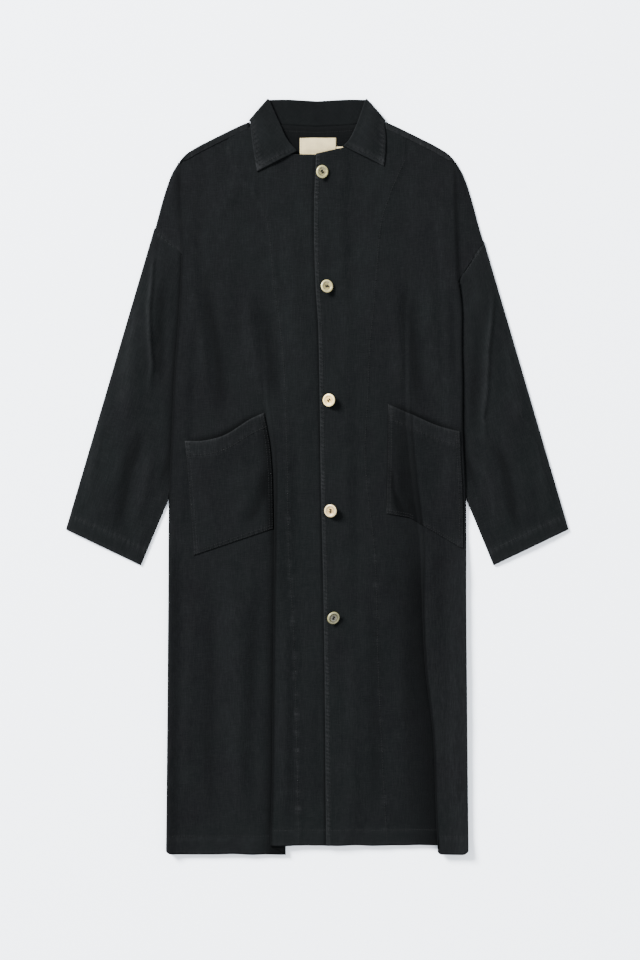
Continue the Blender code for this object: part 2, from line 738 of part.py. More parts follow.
def tilted(point, tilt, way):
    """Point turned so that the side of the button that lies this way is raised."""
    x, y, z = point
    along = x * math.cos(way) + y * math.sin(way)
    across = y * math.cos(way) - x * math.sin(way)
    raised = along * math.sin(tilt) + z * math.cos(tilt)
    along = along * math.cos(tilt) - z * math.sin(tilt)
    return along * math.cos(way) - across * math.sin(way), along * math.sin(way) + across * math.cos(way), raised


def build_button(number, x, y, tilt, way, finish):
    """A button that leans on its thread, with the low side of its rim on the cloth."""
    radius = BUTTON_DIAMETER / 2
    around = [(x + radius * math.cos(a), y + radius * math.sin(a)) for a in np.linspace(0, 2 * math.pi, 13)]
    seat = max(front_height("left", *spot) for spot in around + [(x, y)]) + CLOTH / 2 + SEAM
    surface = Surface()
    rings = []
    for share, height in BUTTON_TOP:
        ring = []
        for k in range(BUTTON_SIDES):
            angle = 2 * math.pi * k / BUTTON_SIDES
            x_out = radius * share * math.cos(angle)
            y_out = radius * share * math.sin(angle)
            ring.append(tilted((x_out, y_out, BUTTON_THICKNESS * height), tilt, way))
        rings.append(ring)
    lowest = min(point[2] for ring in rings for point in ring)
    ids = surface.add_rows(rings)
    surface.join(ids, closed=True)
    surface.faces.append(tuple(ids[0]))
    surface.faces.append(tuple(reversed(ids[-1])))
    mesh = bpy.data.meshes.new("button_%d" % number)
    mesh.from_pydata(surface.points, [], surface.faces)
    mesh.shade_smooth()
    mesh.set_sharp_from_angle(angle=math.radians(50))
    made = bpy.data.objects.new(mesh.name, mesh)
    bpy.context.collection.objects.link(made)
    made.data.materials.append(finish)
    made.location = (x * MM, y * MM, (seat - lowest) * MM)
    return made


def main():
    clear_scene()
    linen = material("linen", LINEN, 0.92)
    shell = material("shell", SHELL, 0.35)
    tape = material("tape", TAPE, 0.8)
    pieces = [build_back(linen)]
    for side in SIGN:
        pieces.append(build_front(side, linen))
        pieces.append(build_sleeve(side, linen))
        pieces.append(build_pocket(side, linen))
    pieces.append(build_collar(linen))
    pieces.append(build_label("label", LABEL_BOX, tape))
    pieces.append(build_label("label_tab", TAB_BOX, tape))
    for number, (y, x, tilt, way) in enumerate(BUTTONS, start=1):
        pieces.append(build_button(number, x, y, math.radians(tilt), math.radians(way), shell))
    coat = bpy.data.objects.new("coat", None)
    bpy.context.collection.objects.link(coat)
    for piece in pieces:
        piece.parent = coat


main()
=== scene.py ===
"""Looks of the linen coat that lies buttoned on its back: cloth, creases, seams, stitches, buttons and label.

Lengths and tables are in millimetres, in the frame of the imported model.
+Y points to the collar, and the wearer's right lies at -X.
"""

import math

import bmesh
import bpy
import numpy as np
from mathutils import Matrix, Vector


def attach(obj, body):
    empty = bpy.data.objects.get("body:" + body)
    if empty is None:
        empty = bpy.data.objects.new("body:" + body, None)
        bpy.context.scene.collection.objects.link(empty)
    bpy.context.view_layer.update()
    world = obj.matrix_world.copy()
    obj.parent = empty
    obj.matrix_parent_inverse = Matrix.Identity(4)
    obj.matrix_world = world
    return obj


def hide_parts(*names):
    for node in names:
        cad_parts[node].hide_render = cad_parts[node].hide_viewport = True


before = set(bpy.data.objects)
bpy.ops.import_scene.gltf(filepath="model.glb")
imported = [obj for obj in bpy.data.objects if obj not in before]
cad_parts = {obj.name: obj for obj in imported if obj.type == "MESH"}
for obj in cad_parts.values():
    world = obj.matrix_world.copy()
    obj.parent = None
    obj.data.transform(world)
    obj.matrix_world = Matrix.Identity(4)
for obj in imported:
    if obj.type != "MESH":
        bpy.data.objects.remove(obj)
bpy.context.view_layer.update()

MM = 0.001

# Sizes shared with the solids
CLOTH = 1.2
SEAM = 0.4
FOLD_RADIUS = 0.9
LEVEL = 2 * FOLD_RADIUS
BACK_LEVEL = CLOTH / 2
FRONT_LEVEL = BACK_LEVEL + LEVEL
BACK_HEM = -569.0
FRONT_HEM = -571.0
SIDE_HEM = -584.7
HEM_ZONE = -500.0
TOP_ZONE = 430.0
TOP_ROW = 556.0
SHOULDER_LAP = 11.0
SHOULDER_TUCK = 5.0
SHOULDER_RADIUS = 2 * FOLD_RADIUS
FRONT_LAP = 34.0
EDGE_ROUND = 1.8
TUCK = 15.0
SLEEVE_FREE = -34.0
CUFF_OUTER = (389.5, -82.0)
CUFF_INNER = (273.0, -137.5)
BUTTON_DIAMETER = 20.0
BUTTON_THICKNESS = 3.6
HIDDEN_SEAM = 2.0

SIGN = {"right": -1.0, "left": 1.0}

# Shoulder fold: distance from the middle, height
SHOULDER = [(87, 555.0), (105, 549.0), (114, 545.5), (140, 533.5), (164, 521.6), (188, 509), (206, 496.5),
            (216, 484)]
# Outer edge of the dropped shoulder: height, distance from the middle
SHOULDER_DROP = [(355, 260.0), (385, 251), (434, 237.5), (460, 228.8), (472, 223.5), (484, 216)]
# Side of the body: height, distance from the middle
SIDE = {
    "right": [(-586, 234.5), (-380, 232.5), (-190, 231), (-34, 229.7), (75, 225), (148, 222), (229, 216),
              (297, 212), (342, 210.5), (418, 214), (484, 215.5)],
    "left": [(-586, 234.5), (-380, 232.5), (-190, 231), (-34, 230.3), (75, 225.5), (148, 225.5), (207, 224.6),
             (262, 224.4), (312, 218.5), (350, 216.4), (418, 214), (484, 214)],
}
ARMHOLE = {"right": {"outer": 380.5, "inner": 343.0}, "left": {"outer": 360.0, "inner": 300.0}}
# Edge of the upper front: height, x
FRONT_EDGE = [(-586, 13.8), (-160, 9), (-36, 6), (162, 2.8), (238, 1), (283, -2), (345, -4.5), (432, -4.7),
              (500, -2)]
NECK_END = {"right": (34.0, 498.6), "left": (-3.0, 500.6)}

# Pleat on each front: height, x of its edge, turn in degrees, overlap
PLEAT = {
    "right": [(-586, -73, 180, 21), (-486, -70, 180, 16), (-346, -68.5, 180, 9), (-191, -67, 172, 2.5),
              (-83, -65.5, 115, 0), (57, -67, 60, 0), (101, -73, 30, 0), (207, -78, 2, 0), (560, -80, 2, 0)],
    "left": [(-586, 187, 180, 14), (-518, 184, 180, 12), (-399, 179.5, 180, 8), (-291, 167, 176, 2.5),
             (-175, 163, 105, 0), (-111, 164.5, 58, 0), (-5, 153, 46, 0), (94, 144.5, 36, 0),
             (238, 145.5, 15, 0), (315, 150, 2, 0), (560, 150, 2, 0)],
}
PLEAT_BEND_LONG = 5.0
PLEAT_FLAT = 1.0
PLEAT_FALL = 38.0
PLEAT_STEPS = 8

# Soft swellings of the fronts: x, y, half width, half length, height
SWELLING = [
    (-150, 290, 46, 125, 3.0),
    (-128, -270, 52, 210, 2.4),
    (-25, 130, 36, 230, 1.8),
    (95, 290, 48, 130, 3.0),
    (92, -290, 50, 220, 2.6),
    (20, -330, 36, 190, 1.4),
]

# Collar stations from its front end to the middle of the back: seam, roll line and outer edge, and turn
COLLAR = {
    "right": [
        ((-40.0, 500.4), (-32.0, 503.2), (-93.3, 472.0), 0),
        ((-60.8, 514.0), (-47.6, 521.6), (-97.2, 495.0), 0),
        ((-76.3, 534.8), (-59.2, 546.4), (-101.0, 521.0), 0),
        ((-87.0, 550.0), (-75.2, 582.0), (-103.8, 549.1), 0),
        ((-87.0, 550.0), (-75.2, 582.0), (-103.8, 549.1), 180),
        ((-58.0, 543.5), (-45.0, 582.3), (-56.0, 526.5), 180),
        ((0.0, 540.0), (0.0, 579.8), (0.0, 525.0), 180),
    ],
    "left": [
        ((47.7, 512.0), (41.5, 510.7), (103.5, 480.5), 0),
        ((63.2, 521.0), (51.6, 522.5), (105.9, 501.0), 0),
        ((77.2, 535.5), (62.5, 545.0), (106.4, 524.0), 0),
        ((87.0, 550.0), (75.2, 582.0), (103.8, 549.1), 0),
        ((87.0, 550.0), (75.2, 582.0), (103.8, 549.1), 180),
        ((58.0, 543.5), (45.0, 582.3), (56.0, 526.5), 180),
        ((0.0, 540.0), (0.0, 579.8), (0.0, 525.0), 180),
    ],
}
COLLAR_STEPS = (14, 14, 14, 14, 12, 14)
COLLAR_OUTWARD = (0.735, 0.678)
COLLAR_BED = (107.0, 522.0, 40.0)

POCKET_MOUTH = {
    "right": [(-205, 55), (-177, 55.5), (-146, 63), (-99.5, 91), (-76, 101.5)],
    "left": [(108, 112.8), (144, 97), (187, 78.5), (229, 67.4)],
}
POCKET_BOTTOM = {
    "right": [(-191, -123), (-68.5, -81.5)],
    "left": [(106, -58), (144, -64.5), (167, -78.5), (222, -111)],
}
POCKET_SIDE = {"right": [(-123, -191), (55, -205)], "left": [(-58, 106.6), (112.4, 109.7)]}
POCKET_INSET = 4.0

# Buttons down the front: height, x, tilt in degrees, and which way its raised side points from +X
BUTTONS = [(471, 7, 25, 166), (294, 14.3, 22, 188), (118, 18.8, 23, 5), (-53, 21.2, 20, 10),
           (-218, 24.5, 27, 140)]

# Sewn edge of the facing under each front, a pale puckered line: height, x
FACING = {
    "right": [(-571, -28.5), (-346, -33), (-222, -37.5), (-129, -43.5), (41, -46.8), (187, -53), (246, -59),
              (286, -65.5), (328, -70), (367, -73), (421, -87), (475, -127), (506, -137)],
    "left": [(-571, 108.2), (-489, 103.5), (-287, 94.2), (-126, 89.6), (35, 74), (132, 78.7), (207, 81.8),
             (267, 88), (328, 92.7), (367, 95.8), (399, 100.4), (432, 111.3), (483, 134.5), (511, 145.4)],
}

# Creases of the fronts: points (x, y), half width, height over the cloth round it
CREASES = [
    ([(-176, 340), (-166, 252), (-158, 207), (-150, 132), (-152, 70)], 13.0, -2.6),
    ([(-190, 330), (-184, 250), (-172, 180), (-168, 110)], 11.0, 1.8),
    ([(-94, 292), (-84, 240), (-72, 170), (-66, 104)], 12.0, -2.2),
    ([(-112, 300), (-104, 230), (-92, 165), (-84, 112)], 11.0, 2.0),
    ([(138, 308), (146, 205), (152, 140), (156, 92)], 13.0, -2.6),
    ([(118, 330), (124, 240), (130, 160), (136, 110)], 13.0, 2.2),
    ([(172, 330), (176, 240), (184, 150), (190, 95)], 12.0, 1.8),
    ([(205, 300), (208, 220), (210, 140)], 6.0, -1.6),
    ([(-40, 440), (-44, 330), (-38, 240), (-26, 160)], 14.0, 1.2),
    ([(40, 430), (44, 320), (52, 240), (56, 150)], 12.0, 1.1),
    ([(-120, 470), (-142, 420), (-160, 385)], 14.0, 1.4),
    ([(150, 470), (168, 430), (182, 380)], 14.0, 1.4),
    ([(-198, -140), (-196, -260), (-204, -400), (-200, -540)], 10.0, 1.5),
    ([(-168, -150), (-164, -280), (-168, -420), (-160, -570)], 12.0, -1.6),
    ([(-130, -130), (-124, -260), (-120, -400), (-126, -575)], 15.0, 1.7),
    ([(-92, -120), (-96, -250), (-104, -420), (-102, -570)], 9.0, -1.4),
    ([(-46, -150), (-48, -300), (-50, -450), (-54, -570)], 9.0, 1.5),
    ([(4, -260), (0, -380), (2, -480), (-4, -568)], 9.0, -1.0),
    ([(52, -250), (58, -360), (60, -460), (66, -568)], 12.0, 1.4),
    ([(84, -140), (90, -280), (92, -420), (86, -566)], 12.0, -1.5),
    ([(128, -110), (134, -240), (132, -380), (138, -540)], 14.0, 2.0),
    ([(212, -150), (214, -300), (212, -420), (216, -570)], 8.0, 1.3),
    ([(36, -556), (44, -562), (48, -571)], 6.0, 1.6),
    ([(-186, 20), (-170, -30), (-150, -90)], 9.0, 1.1),
    ([(-120, 60), (-110, 0), (-100, -70)], 12.0, 1.3),
    ([(128, 60), (124, 0), (118, -50)], 10.0, 1.1),
    ([(206, 40), (200, -30), (196, -90)], 10.0, 1.2),
    ([(115, 26), (118, -20), (126, -47), (141, -70)], 4.5, -2.2),
    ([(-70, 22), (-82, -18), (-98, -54), (-118, -82)], 10.0, -2.2),
]
# Creases of the sleeves, on the wearer's right at -X and on the left at +X
SLEEVE_CREASES = [
    ([(-252, 374), (-256, 306), (-261, 258), (-259, 208), (-256, 173), (-262, 110)], 3.6, 2.6),
    ([(-238, 330), (-240, 250), (-243, 180), (-244, 120)], 9.0, -1.2),
    ([(-276, 300), (-286, 220), (-296, 140), (-306, 60)], 13.0, 1.8),
    ([(-262, 90), (-290, 20), (-304, -60), (-312, -100)], 9.0, -1.8),
    ([(-330, 150), (-344, 70), (-352, -10), (-356, -60)], 10.0, 1.6),
    ([(-250, 60), (-268, -10), (-282, -90)], 9.0, 1.6),
    ([(274, 305), (270, 249), (264, 192), (262, 134), (257, 92), (264, 30)], 3.6, 2.6),
    ([(252, 280), (250, 200), (246, 120), (246, 60)], 9.0, -1.2),
    ([(292, 280), (300, 200), (308, 120), (320, 40)], 13.0, 1.8),
    ([(268, 70), (292, 10), (306, -60), (316, -98)], 9.0, -1.8),
    ([(334, 140), (346, 60), (354, -20), (358, -66)], 10.0, 1.6),
    ([(252, 40), (270, -20), (284, -92)], 9.0, 1.6),
]

# Pale facing lines, hems and edges of the fronts
FACING_STEP = 0.55
FACING_RIPPLE = 0.7
EDGE_RIDGE = 3.6       # from the front edge to the ridge of its stitches
WEAR_START = 60.0      # the facing is paler below this height, over this run
WEAR_RUN = 260.0
FACING_WEAR = {"right": 0.9, "left": 0.5}
HEM_BAND = 23.0
HEM_STEP = 0.45
HEM_RIPPLE = 0.5
BAND_SLOPE = 2.5       # width of the step at the sewn edge of a band
HEM_WAVE = 0.9
CORNER_RADIUS = 10.0   # of the hem at the side
FOLD_CORNER = 5.0      # of the hem at the folded edge of the pleat
SIDE_ROLL = 5.4        # height of the soft roll along the free side edges
HEM_ROLL = 2.2         # and along the hem
ROLL_WIDTH = 15.0
ROLL_TOP = -160.0      # the roll of the side is full below this height
ROLL_FADE = 100.0
LIFT_START = -110.0    # from this height up the body lies over the sleeve, and rises over this run
LIFT_RUN = 70.0
LIFT_END = 350.0       # and it sinks again above this height
LIFT_FADE = 110.0
LIFT_CLEAR = 3.0
LIFT_SLOPE = 16.0
LAP_CLEAR = 4.0        # the upper front comes down again past the edge of the lower one
LAP_SLOPE = 20.0
LAP_TOP = 512.0
LAP_FADE = 10.0
RELIEF_BASE = 0.6
RELIEF_SOFT = 0.4      # how softly the relief levels out on the layer below
CREASE_FADE = 0.3      # share of a crease's length over which each end fades

# Low unevenness of the cloth: height, stretch along the coat, size, seed
CRUMPLES = [(0.42, 0.55, 34.0, 3), (0.22, 0.7, 15.0, 8), (0.5, 0.4, 75.0, 5)]

# Stitches, and the rings of each: share of its length, share of its thickness
STITCH_LENGTH = 2.7
STITCH_PITCH = 3.7
STITCH_WIDTH = 0.62
STITCH_HEIGHT = 0.5
STITCH_RISE = 0.1
STITCH_RINGS = ((0.0, 0.35), (0.25, 0.95), (0.75, 0.95), (1.0, 0.35))
STITCH_SINK = 0.6

# Back, neck and shoulders
BACK_COLUMNS = 91
BACK_PITCH = 7.0
NECK_SEAM = 1.2        # the fronts end this far below the seam of the collar
NECK_LAP = 1.6         # the back's neck edge lies over the seam of the collar by this much
NECK_RISE = 1.35       # and this much higher than the cloth below it
NECK_SLOPE = 7.0
# Painted shade over the whole back, which shows only inside the neck
NECK_SHADE = 0.8
NECK_ROW = 9.0         # the row of stitches below the neck edge
NECK_ROW_HALF = 70.0
NECK_ROW_LEVEL = 530.0
NECK_RIDGE = 0.25
SHOULDER_WEAR = {"right": 0.35, "left": 0.75}
SHOULDER_STEP = {"right": 0.3, "left": 0.6}   # height of the lap over the front at its sewn edge
SHOULDER_START = 100.0                        # nearer to the middle than this the collar hides the fold
SHOULDER_TAPER = 16.0
SHOULDER_RIPPLE = 0.45
SHOULDER_WAVE = 1.35
SHOULDER_FOLD_WEAR = 0.12

# Meshes of the fronts
FIT_ROUNDS = 4
FRONT_PITCH = 3.0
FRONT_COUNTS = {"right": (46, 30), "left": (42, 24)}
CROWDING = 1.35        # columns lie closer together towards the side
EDGE_DROP = 0.5        # how far the side edge turns down onto the sleeve
# Painted shade on the side edge where it turns down onto the sleeve
EDGE_SHADE = 0.85
FLOOR_START = -62.0    # below this height the side edge turns down to the floor
FLOOR_RUN = 16.0
FLOOR_CLEAR = 0.75
WING_COLUMNS = 12
WING_SLOPE = 9.0       # the dropped shoulder falls away from the body over this width
SEAM_PINCH = 0.5       # how deep the armhole seam draws the cloth in
SEAM_REACH = 4.0
SEAM_RIPPLE = 0.45
SEAM_WAVE = 1.1
TURNED_WEAR = 0.06
COVER_START = -90.0    # above this height the side covers the sleeve
COVER_RUN = 60.0
# Painted highlight on the crests of the front creases
CREST_HIGHLIGHT = 0.03
FRONT_HOLLOW = 4.5     # depth of a crease whose hollow gets the full painted shade, on the fronts
HOLLOW = 3.0           # and on the other pieces
CROWN_AWAY = 16.0
# Reach of the painted shade on the low side of each pleat
PLEAT_SHADE = {"right": 9.0, "left": 38.0}
EDGE_ROWS = ((1.8, 0.3), (5.8, 0.7))   # stitches by the front edge: distance, phase

# Sleeves
SLEEVE_COLUMNS = 44
SLEEVE_ROWS = 165
SLEEVE_LENGTH = 480.0
SLEEVE_SWELL = 3.2
SLEEVE_UNDER = (4.0, 13.0)   # how far the seam edge slips under the dropped shoulder, outside and inside
SLEEVE_ROW = 4.5             # the row of stitches beside the armhole seam
TUCK_LENGTH = 70.0
TUCK_CLEAR = 4.0
SEAM_SINK = 7.0        # the top of a sleeve sinks over this length
# The relief of a sleeve fades out over these widths
SLEEVE_FADE = {"outside": 14.0, "inside": 16.0, "tuck": 12.0}
WAY_STEP = 0.02
CUFF_BAND = 22.5

# Collar
COLLAR_PUFF = 1.8
COLLAR_SEEN = 3.0      # stations of the collar that lie over the fronts
COLLAR_ROW = 6.5       # the row of stitches inside its edges
STAND_POINTS = 9
BEND_POINTS = 11
FALL_POINTS = 22
ROLL_POINT = 14        # the point of a section that shows at the roll
STAND_SHADE = 0.42     # painted shade on the collar's stand, seen inside the neck

# Pockets
POCKET_ROWS = 64
POCKET_COLUMNS = 46
POCKET_COUNTS = (16, 21)   # columns of the left pocket before and after the pleat
# Strength of the pleat's painted shade on each pocket
POCKET_SHADE = {"right": 1.0, "left": 2.4}
POCKET_SEWN = (2.2, 6.5)   # distances of the stitches from the sewn edges
SEWN_STEP = 0.26       # the sewn edges of a pocket stand this far above the front
SEWN_SLOPE = 10.0
CORNER_REACH = 13.0
POCKET_ROUNDS = 6
MOUTH_BAND = 21.5
GAPE = {"right": 4.6, "left": 3.2}
GAPE_DEPTH = 75.0

# Label
LABEL_BOX = (-26.8, 29.2, 498.4, 524.2)   # left, right, bottom, top
TAB_BOX = (30.0, 40.6, 502.0, 510.8)
LABEL_CLOTH = 0.7
LABEL_LIFT = 8.0       # the tape stands off the back above this height over its lower edge
LABEL_BOW = 0.9
LABEL_PITCH = 1.2
LABEL_ROWS = 24
SEWN_TOP = 20.0        # a tape wider than this is sewn down along its top too

# Half section of a button from the edge of its flat middle round to the underside:
# share of radius, share of thickness
BUTTON_SECTION = [(0.42, 0.60), (0.50, 0.61), (0.58, 0.66), (0.63, 0.76), (0.68, 0.90), (0.74, 0.98),
                  (0.82, 1.0), (0.90, 0.95), (0.96, 0.83), (1.0, 0.62), (0.99, 0.42), (0.94, 0.22),
                  (0.84, 0.07), (0.62, 0.0)]
BUTTON_SIDES = 48
BUTTON_SPIN = 0.7      # each button is turned this much further than the one before
BUTTON_GAP = 0.1
BUTTON_SHARP = 42.0
HOLE_RADIUS = 1.1
HOLE_REACH = 2.1
HOLE_ANGLES = (0.9, 2.4, 4.1, 5.5)
HOLE_SIDES = 14
STRAND_RADIUS = 0.48
STRAND_SHIFTS = (-0.9, -0.3, 0.3, 0.9)
STRAND_DEPTH = 1.6
STRAND_ARCH = 2.1
SHANK_RADIUS = 1.5     # of the thread wound under a button
SHANK_TURNS = 6
SHANK_SINK = 0.3
SHANK_RISE = 0.5

# Tones of the linen
COOL_BLACK = (0.00197, 0.00253, 0.00263, 1.0)
WARM_BLACK = (0.00187, 0.00197, 0.00233, 1.0)
PALE_THREAD = (0.0054, 0.0058, 0.0061, 1.0)
DUSTY = (0.0036, 0.0039, 0.0042, 1.0)
# Pale worn cloth, also the tone of the painted highlights
PALE_WEAR_AND_HIGHLIGHT = (0.0112, 0.0115, 0.0122, 1.0)
# Painted shade, mixed in where the cloth should lie in shade
PAINTED_SHADE_TONE = (0.0003, 0.0004, 0.0005, 1.0)
# Of the sewing thread and of the tape, dark and light
THREAD_TONES = ((0.0019, 0.0022, 0.0023, 1.0), (0.0086, 0.0088, 0.0093, 1.0))
TAPE_TONES = ((0.36, 0.295, 0.150, 1.0), (0.28, 0.225, 0.118, 1.0))
TAPE_RIB = (0.26, 0.21, 0.13, 1.0)
TAPE_THREAD_TONES = ((0.23, 0.19, 0.115, 1.0), (0.35, 0.295, 0.185, 1.0))
FLOOR_TONES = ((0.850, 0.888, 0.950, 1.0), (0.858, 0.896, 0.958, 1.0))
# Light and dark tone of each button, and the tone of its rim
BUTTON_TONES = [
    ((0.230, 0.200, 0.078, 1.0), (0.064, 0.054, 0.020, 1.0), (0.225, 0.208, 0.088, 1.0)),
    ((0.265, 0.220, 0.088, 1.0), (0.092, 0.072, 0.024, 1.0), (0.280, 0.245, 0.115, 1.0)),
    ((0.470, 0.320, 0.105, 1.0), (0.220, 0.130, 0.033, 1.0), (0.600, 0.480, 0.220, 1.0)),
    ((0.310, 0.215, 0.085, 1.0), (0.125, 0.074, 0.024, 1.0), (0.370, 0.300, 0.160, 1.0)),
    ((0.060, 0.053, 0.016, 1.0), (0.013, 0.011, 0.003, 1.0), (0.130, 0.122, 0.056, 1.0)),
]

# Stage: place, size and power of the lights, in metres and watts, and the camera
LIGHTS = {"key": ((-7.4, 6.2, 5.6), 4.0, 9400.0), "fill": ((2.6, -1.8, 3.4), 3.4, 170.0)}
SKY_TONE = (0.92, 0.96, 1.0, 1.0)
SKY_STRENGTH = 1.6
FLOOR_SIZE = 12.0
FLOOR_DEPTH = 0.0004
CAMERA_PLACE = (0.0043, -0.0054, 3.513)
CAMERA_LENS = 85.0
CAMERA_SENSOR = 36.0

# Ripples along each sewn line: reach beside it, pitch along it, seed
PUCKERS = {
    "facing": (3.5, 8.0, 21),
    "hem": (5.0, 8.0, 31),
    "front_edge": (2.8, 6.6, 51),
    "cuff": (5.0, 8.0, 81),
    "armhole": (4.0, 7.0, 91),
    "collar_edge": (4.0, 7.0, 101),
    "collar_end": (4.0, 7.0, 111),
    "pocket": (4.5, 7.5, 121),
    "mouth": (4.0, 8.0, 131),
}
PUCKER_DRIFT = 40.0

# Irregular waves: size, seed
WAVES = {
    "flecks": (22.0, 22),
    "hem_edge": (60.0, 12),
    "hem_wear": (9.0, 41),
    "shoulder": (30.0, 61),
    "armhole": (7.0, 71),
    "patches": (45.0, 133),
    "tape": (14.0, 141),
    "tape_edge": (22.0, 151),
}

# Tone along each line, pale wear unless noted: strength, half width
TONES = {
    "facing": (0.12, 5.0),
    "hem_band": (0.16, 4.0),
    "hem": (0.25, 4.0),
    "front_edge": (0.12, 2.2),
    # painted shadow of the upper front's edge on the lower front
    "under_edge": (0.9, 2.6),
    "side": (0.2, 5.0),
    # painted shade where the side edge lies on the sleeve
    "side_on_sleeve": (0.75, 3.5),
    # painted highlight on the crown of the wearer's left pleat
    "crown": (0.13, 18.0),
    # painted shadow under the hanging edge of a pocket's mouth
    "in_mouth": (1.0, 6.0),
    "armhole": (0.4, 5.0),
    # painted shade where the dropped shoulder falls away from the body
    "wing": (0.75, 7.0),
    "cuff": (0.3, 4.0),
    "sleeve_fold": (0.15, 4.0),
    # painted shade on the sleeve beside the body's edge
    "under_body": (0.8, 6.0),
    "collar_edge": (0.3, 2.5),
    "collar_tip": (0.5, 12.0),
    # pale wear at the collar's roll, which also paints light over its shade
    "collar_roll": (0.3, 3.0),
    "mouth": (0.3, 3.0),
    # painted shade along the pocket edges
    "pocket_fold": (0.55, 12.0),
    "sewn_edge": (0.7, 2.2),
}


# Small helpers

def smooth(t):
    t = np.clip(t, 0.0, 1.0)
    return t * t * (3.0 - 2.0 * t)


def mix(a, b, t):
    return a + (b - a) * t


def read(rows, at, column=1):
    """Value of a table's column along its first column, in straight steps and level past both ends."""
    table = np.array([(row[0], row[column]) for row in rows], float)
    return np.interp(at, table[:, 0], table[:, 1])


def curve(rows, at, column=1):
    """The same along a smooth curve through the table's rows."""
    table = np.array([(row[0], row[column]) for row in rows], float)
    keys = table[:, 0]
    values = table[:, 1]
    slopes = np.gradient(values, keys)
    at = np.clip(at, keys[0], keys[-1])
    k = np.clip(np.searchsorted(keys, at, side="right") - 1, 0, len(keys) - 2)
    width = keys[k + 1] - keys[k]
    t = (at - keys[k]) / width
    rise = values[k + 1] - values[k]
    start = values[k] + rise * t * t * (3.0 - 2.0 * t)
    return start + width * t * (1.0 - t) * ((1.0 - t) * slopes[k] - t * slopes[k + 1])


def spline(points, t):
    """Point on a smooth curve through the given points, t running from 0 to their count less one."""
    count = len(points)
    k = min(int(t), count - 2)
    f = t - k
    p1 = np.array(points[k], float)
    p2 = np.array(points[k + 1], float)
    p0 = np.array(points[k - 1], float) if k > 0 else 2 * p1 - p2
    p3 = np.array(points[k + 2], float) if k + 2 < count else 2 * p2 - p1
    return 0.5 * (2 * p1 + (p2 - p0) * f + (2 * p0 - 5 * p1 + 4 * p2 - p3) * f ** 2
                  + (3 * p1 - p0 - 3 * p2 + p3) * f ** 3)


def uneven(x, y, size, seed):
    """Irregular waves of about this size, between -1 and 1."""
    chance = np.random.default_rng(seed)
    total = 0.0
    waves = 7
    for _ in range(waves):
        way = chance.uniform(0, math.pi)
        length = size * chance.uniform(0.7, 1.8)
        phase = chance.uniform(0, 2 * math.pi)
        total = total + np.sin(2 * math.pi * (x * math.cos(way) + y * math.sin(way)) / length + phase)
    return total / waves * 1.6


def near_line(points, x, y):
    """Distance from a line of points, and how far along the line the nearest place is."""
    best = np.full(np.shape(x), 1e9)
    along = np.zeros(np.shape(x))
    run = 0.0
    for (x0, y0), (x1, y1) in zip(points, points[1:]):
        length = math.hypot(x1 - x0, y1 - y0)
        t = np.clip(((x - x0) * (x1 - x0) + (y - y0) * (y1 - y0)) / length ** 2, 0.0, 1.0)
        away = np.hypot(x - x0 - t * (x1 - x0), y - y0 - t * (y1 - y0))
        closer = away < best
        best = np.where(closer, away, best)
        along = np.where(closer, run + t * length, along)
        run += length
    return best, along, run


def bell(away, width):
    """1 on a line, fading to nothing over about twice this width beside it."""
    return np.exp(-(away / width) ** 2)


def line_tone(name, away):
    strength, width = TONES[name]
    return strength * bell(away, width)


def crease_height(table, x, y):
    total = np.zeros(np.shape(x))
    for points, width, height in table:
        away, along, run = near_line(points, x, y)
        fade = CREASE_FADE * run
        ends = smooth(along / fade) * smooth((run - along) / fade)
        total += height * bell(away, width) * ends
    return total


def pucker(name, away, along):
    """Small ripples across a sewn line, between 0 and 1, that fade away from it."""
    reach, pitch, seed = PUCKERS[name]
    drift = 2.5 * uneven(along, 0 * along, PUCKER_DRIFT, seed)
    return (0.5 + 0.5 * np.sin(2 * math.pi * along / pitch + drift)) * bell(away, reach)


# Heights of the layers

def bed(x, y):
    half_width, bottom, slope = COLLAR_BED
    aside = np.maximum(np.abs(x) - half_width, 0.0)
    below = np.maximum(bottom - y, 0.0)
    return LEVEL * (1.0 - smooth(np.hypot(aside, below) / slope))


def swelling(x, y):
    total = np.zeros(np.shape(x))
    for center_x, center_y, half_x, half_y, height in SWELLING:
        reach = ((x - center_x) / half_x) ** 2 + ((y - center_y) / half_y) ** 2
        total += height * np.maximum(1.0 - reach, 0.0) ** 2
    return total


def sleeve_lift(side, x, y):
    """Rise of a front where it lies over the tucked edge of the sleeve."""
    inside = curve(SIDE[side], y) - np.abs(x)
    along = smooth((y - LIFT_START) / LIFT_RUN) * (1.0 - smooth((y - LIFT_END) / LIFT_FADE))
    return LEVEL * along * (1.0 - smooth((inside - TUCK - LIFT_CLEAR) / LIFT_SLOPE))


def lap_lift(side, x, y):
    """Rise of the upper front where it lies over the lower one."""
    if side == "right":
        return np.zeros(np.shape(x))
    past = x - curve(FRONT_EDGE, y) - FRONT_LAP - LAP_CLEAR
    return LEVEL * (1.0 - smooth(past / LAP_SLOPE)) * (1.0 - smooth((y - LAP_TOP) / LAP_FADE))


def crumple(x, y):
    """Low unevenness of washed linen that has been smoothed by hand."""
    return sum(height * uneven(x, stretch * y, size, seed) for height, stretch, size, seed in CRUMPLES)


def relief(x, y):
    """Creases and swellings of the fronts, never below the layer that they lie on."""
    raw = RELIEF_BASE + swelling(x, y) + crease_height(CREASES, x, y) + crumple(x, y)
    return 0.5 * (raw + np.sqrt(raw ** 2 + RELIEF_SOFT))


def facing_line(side):
    return [(x, y) for y, x in FACING[side]]


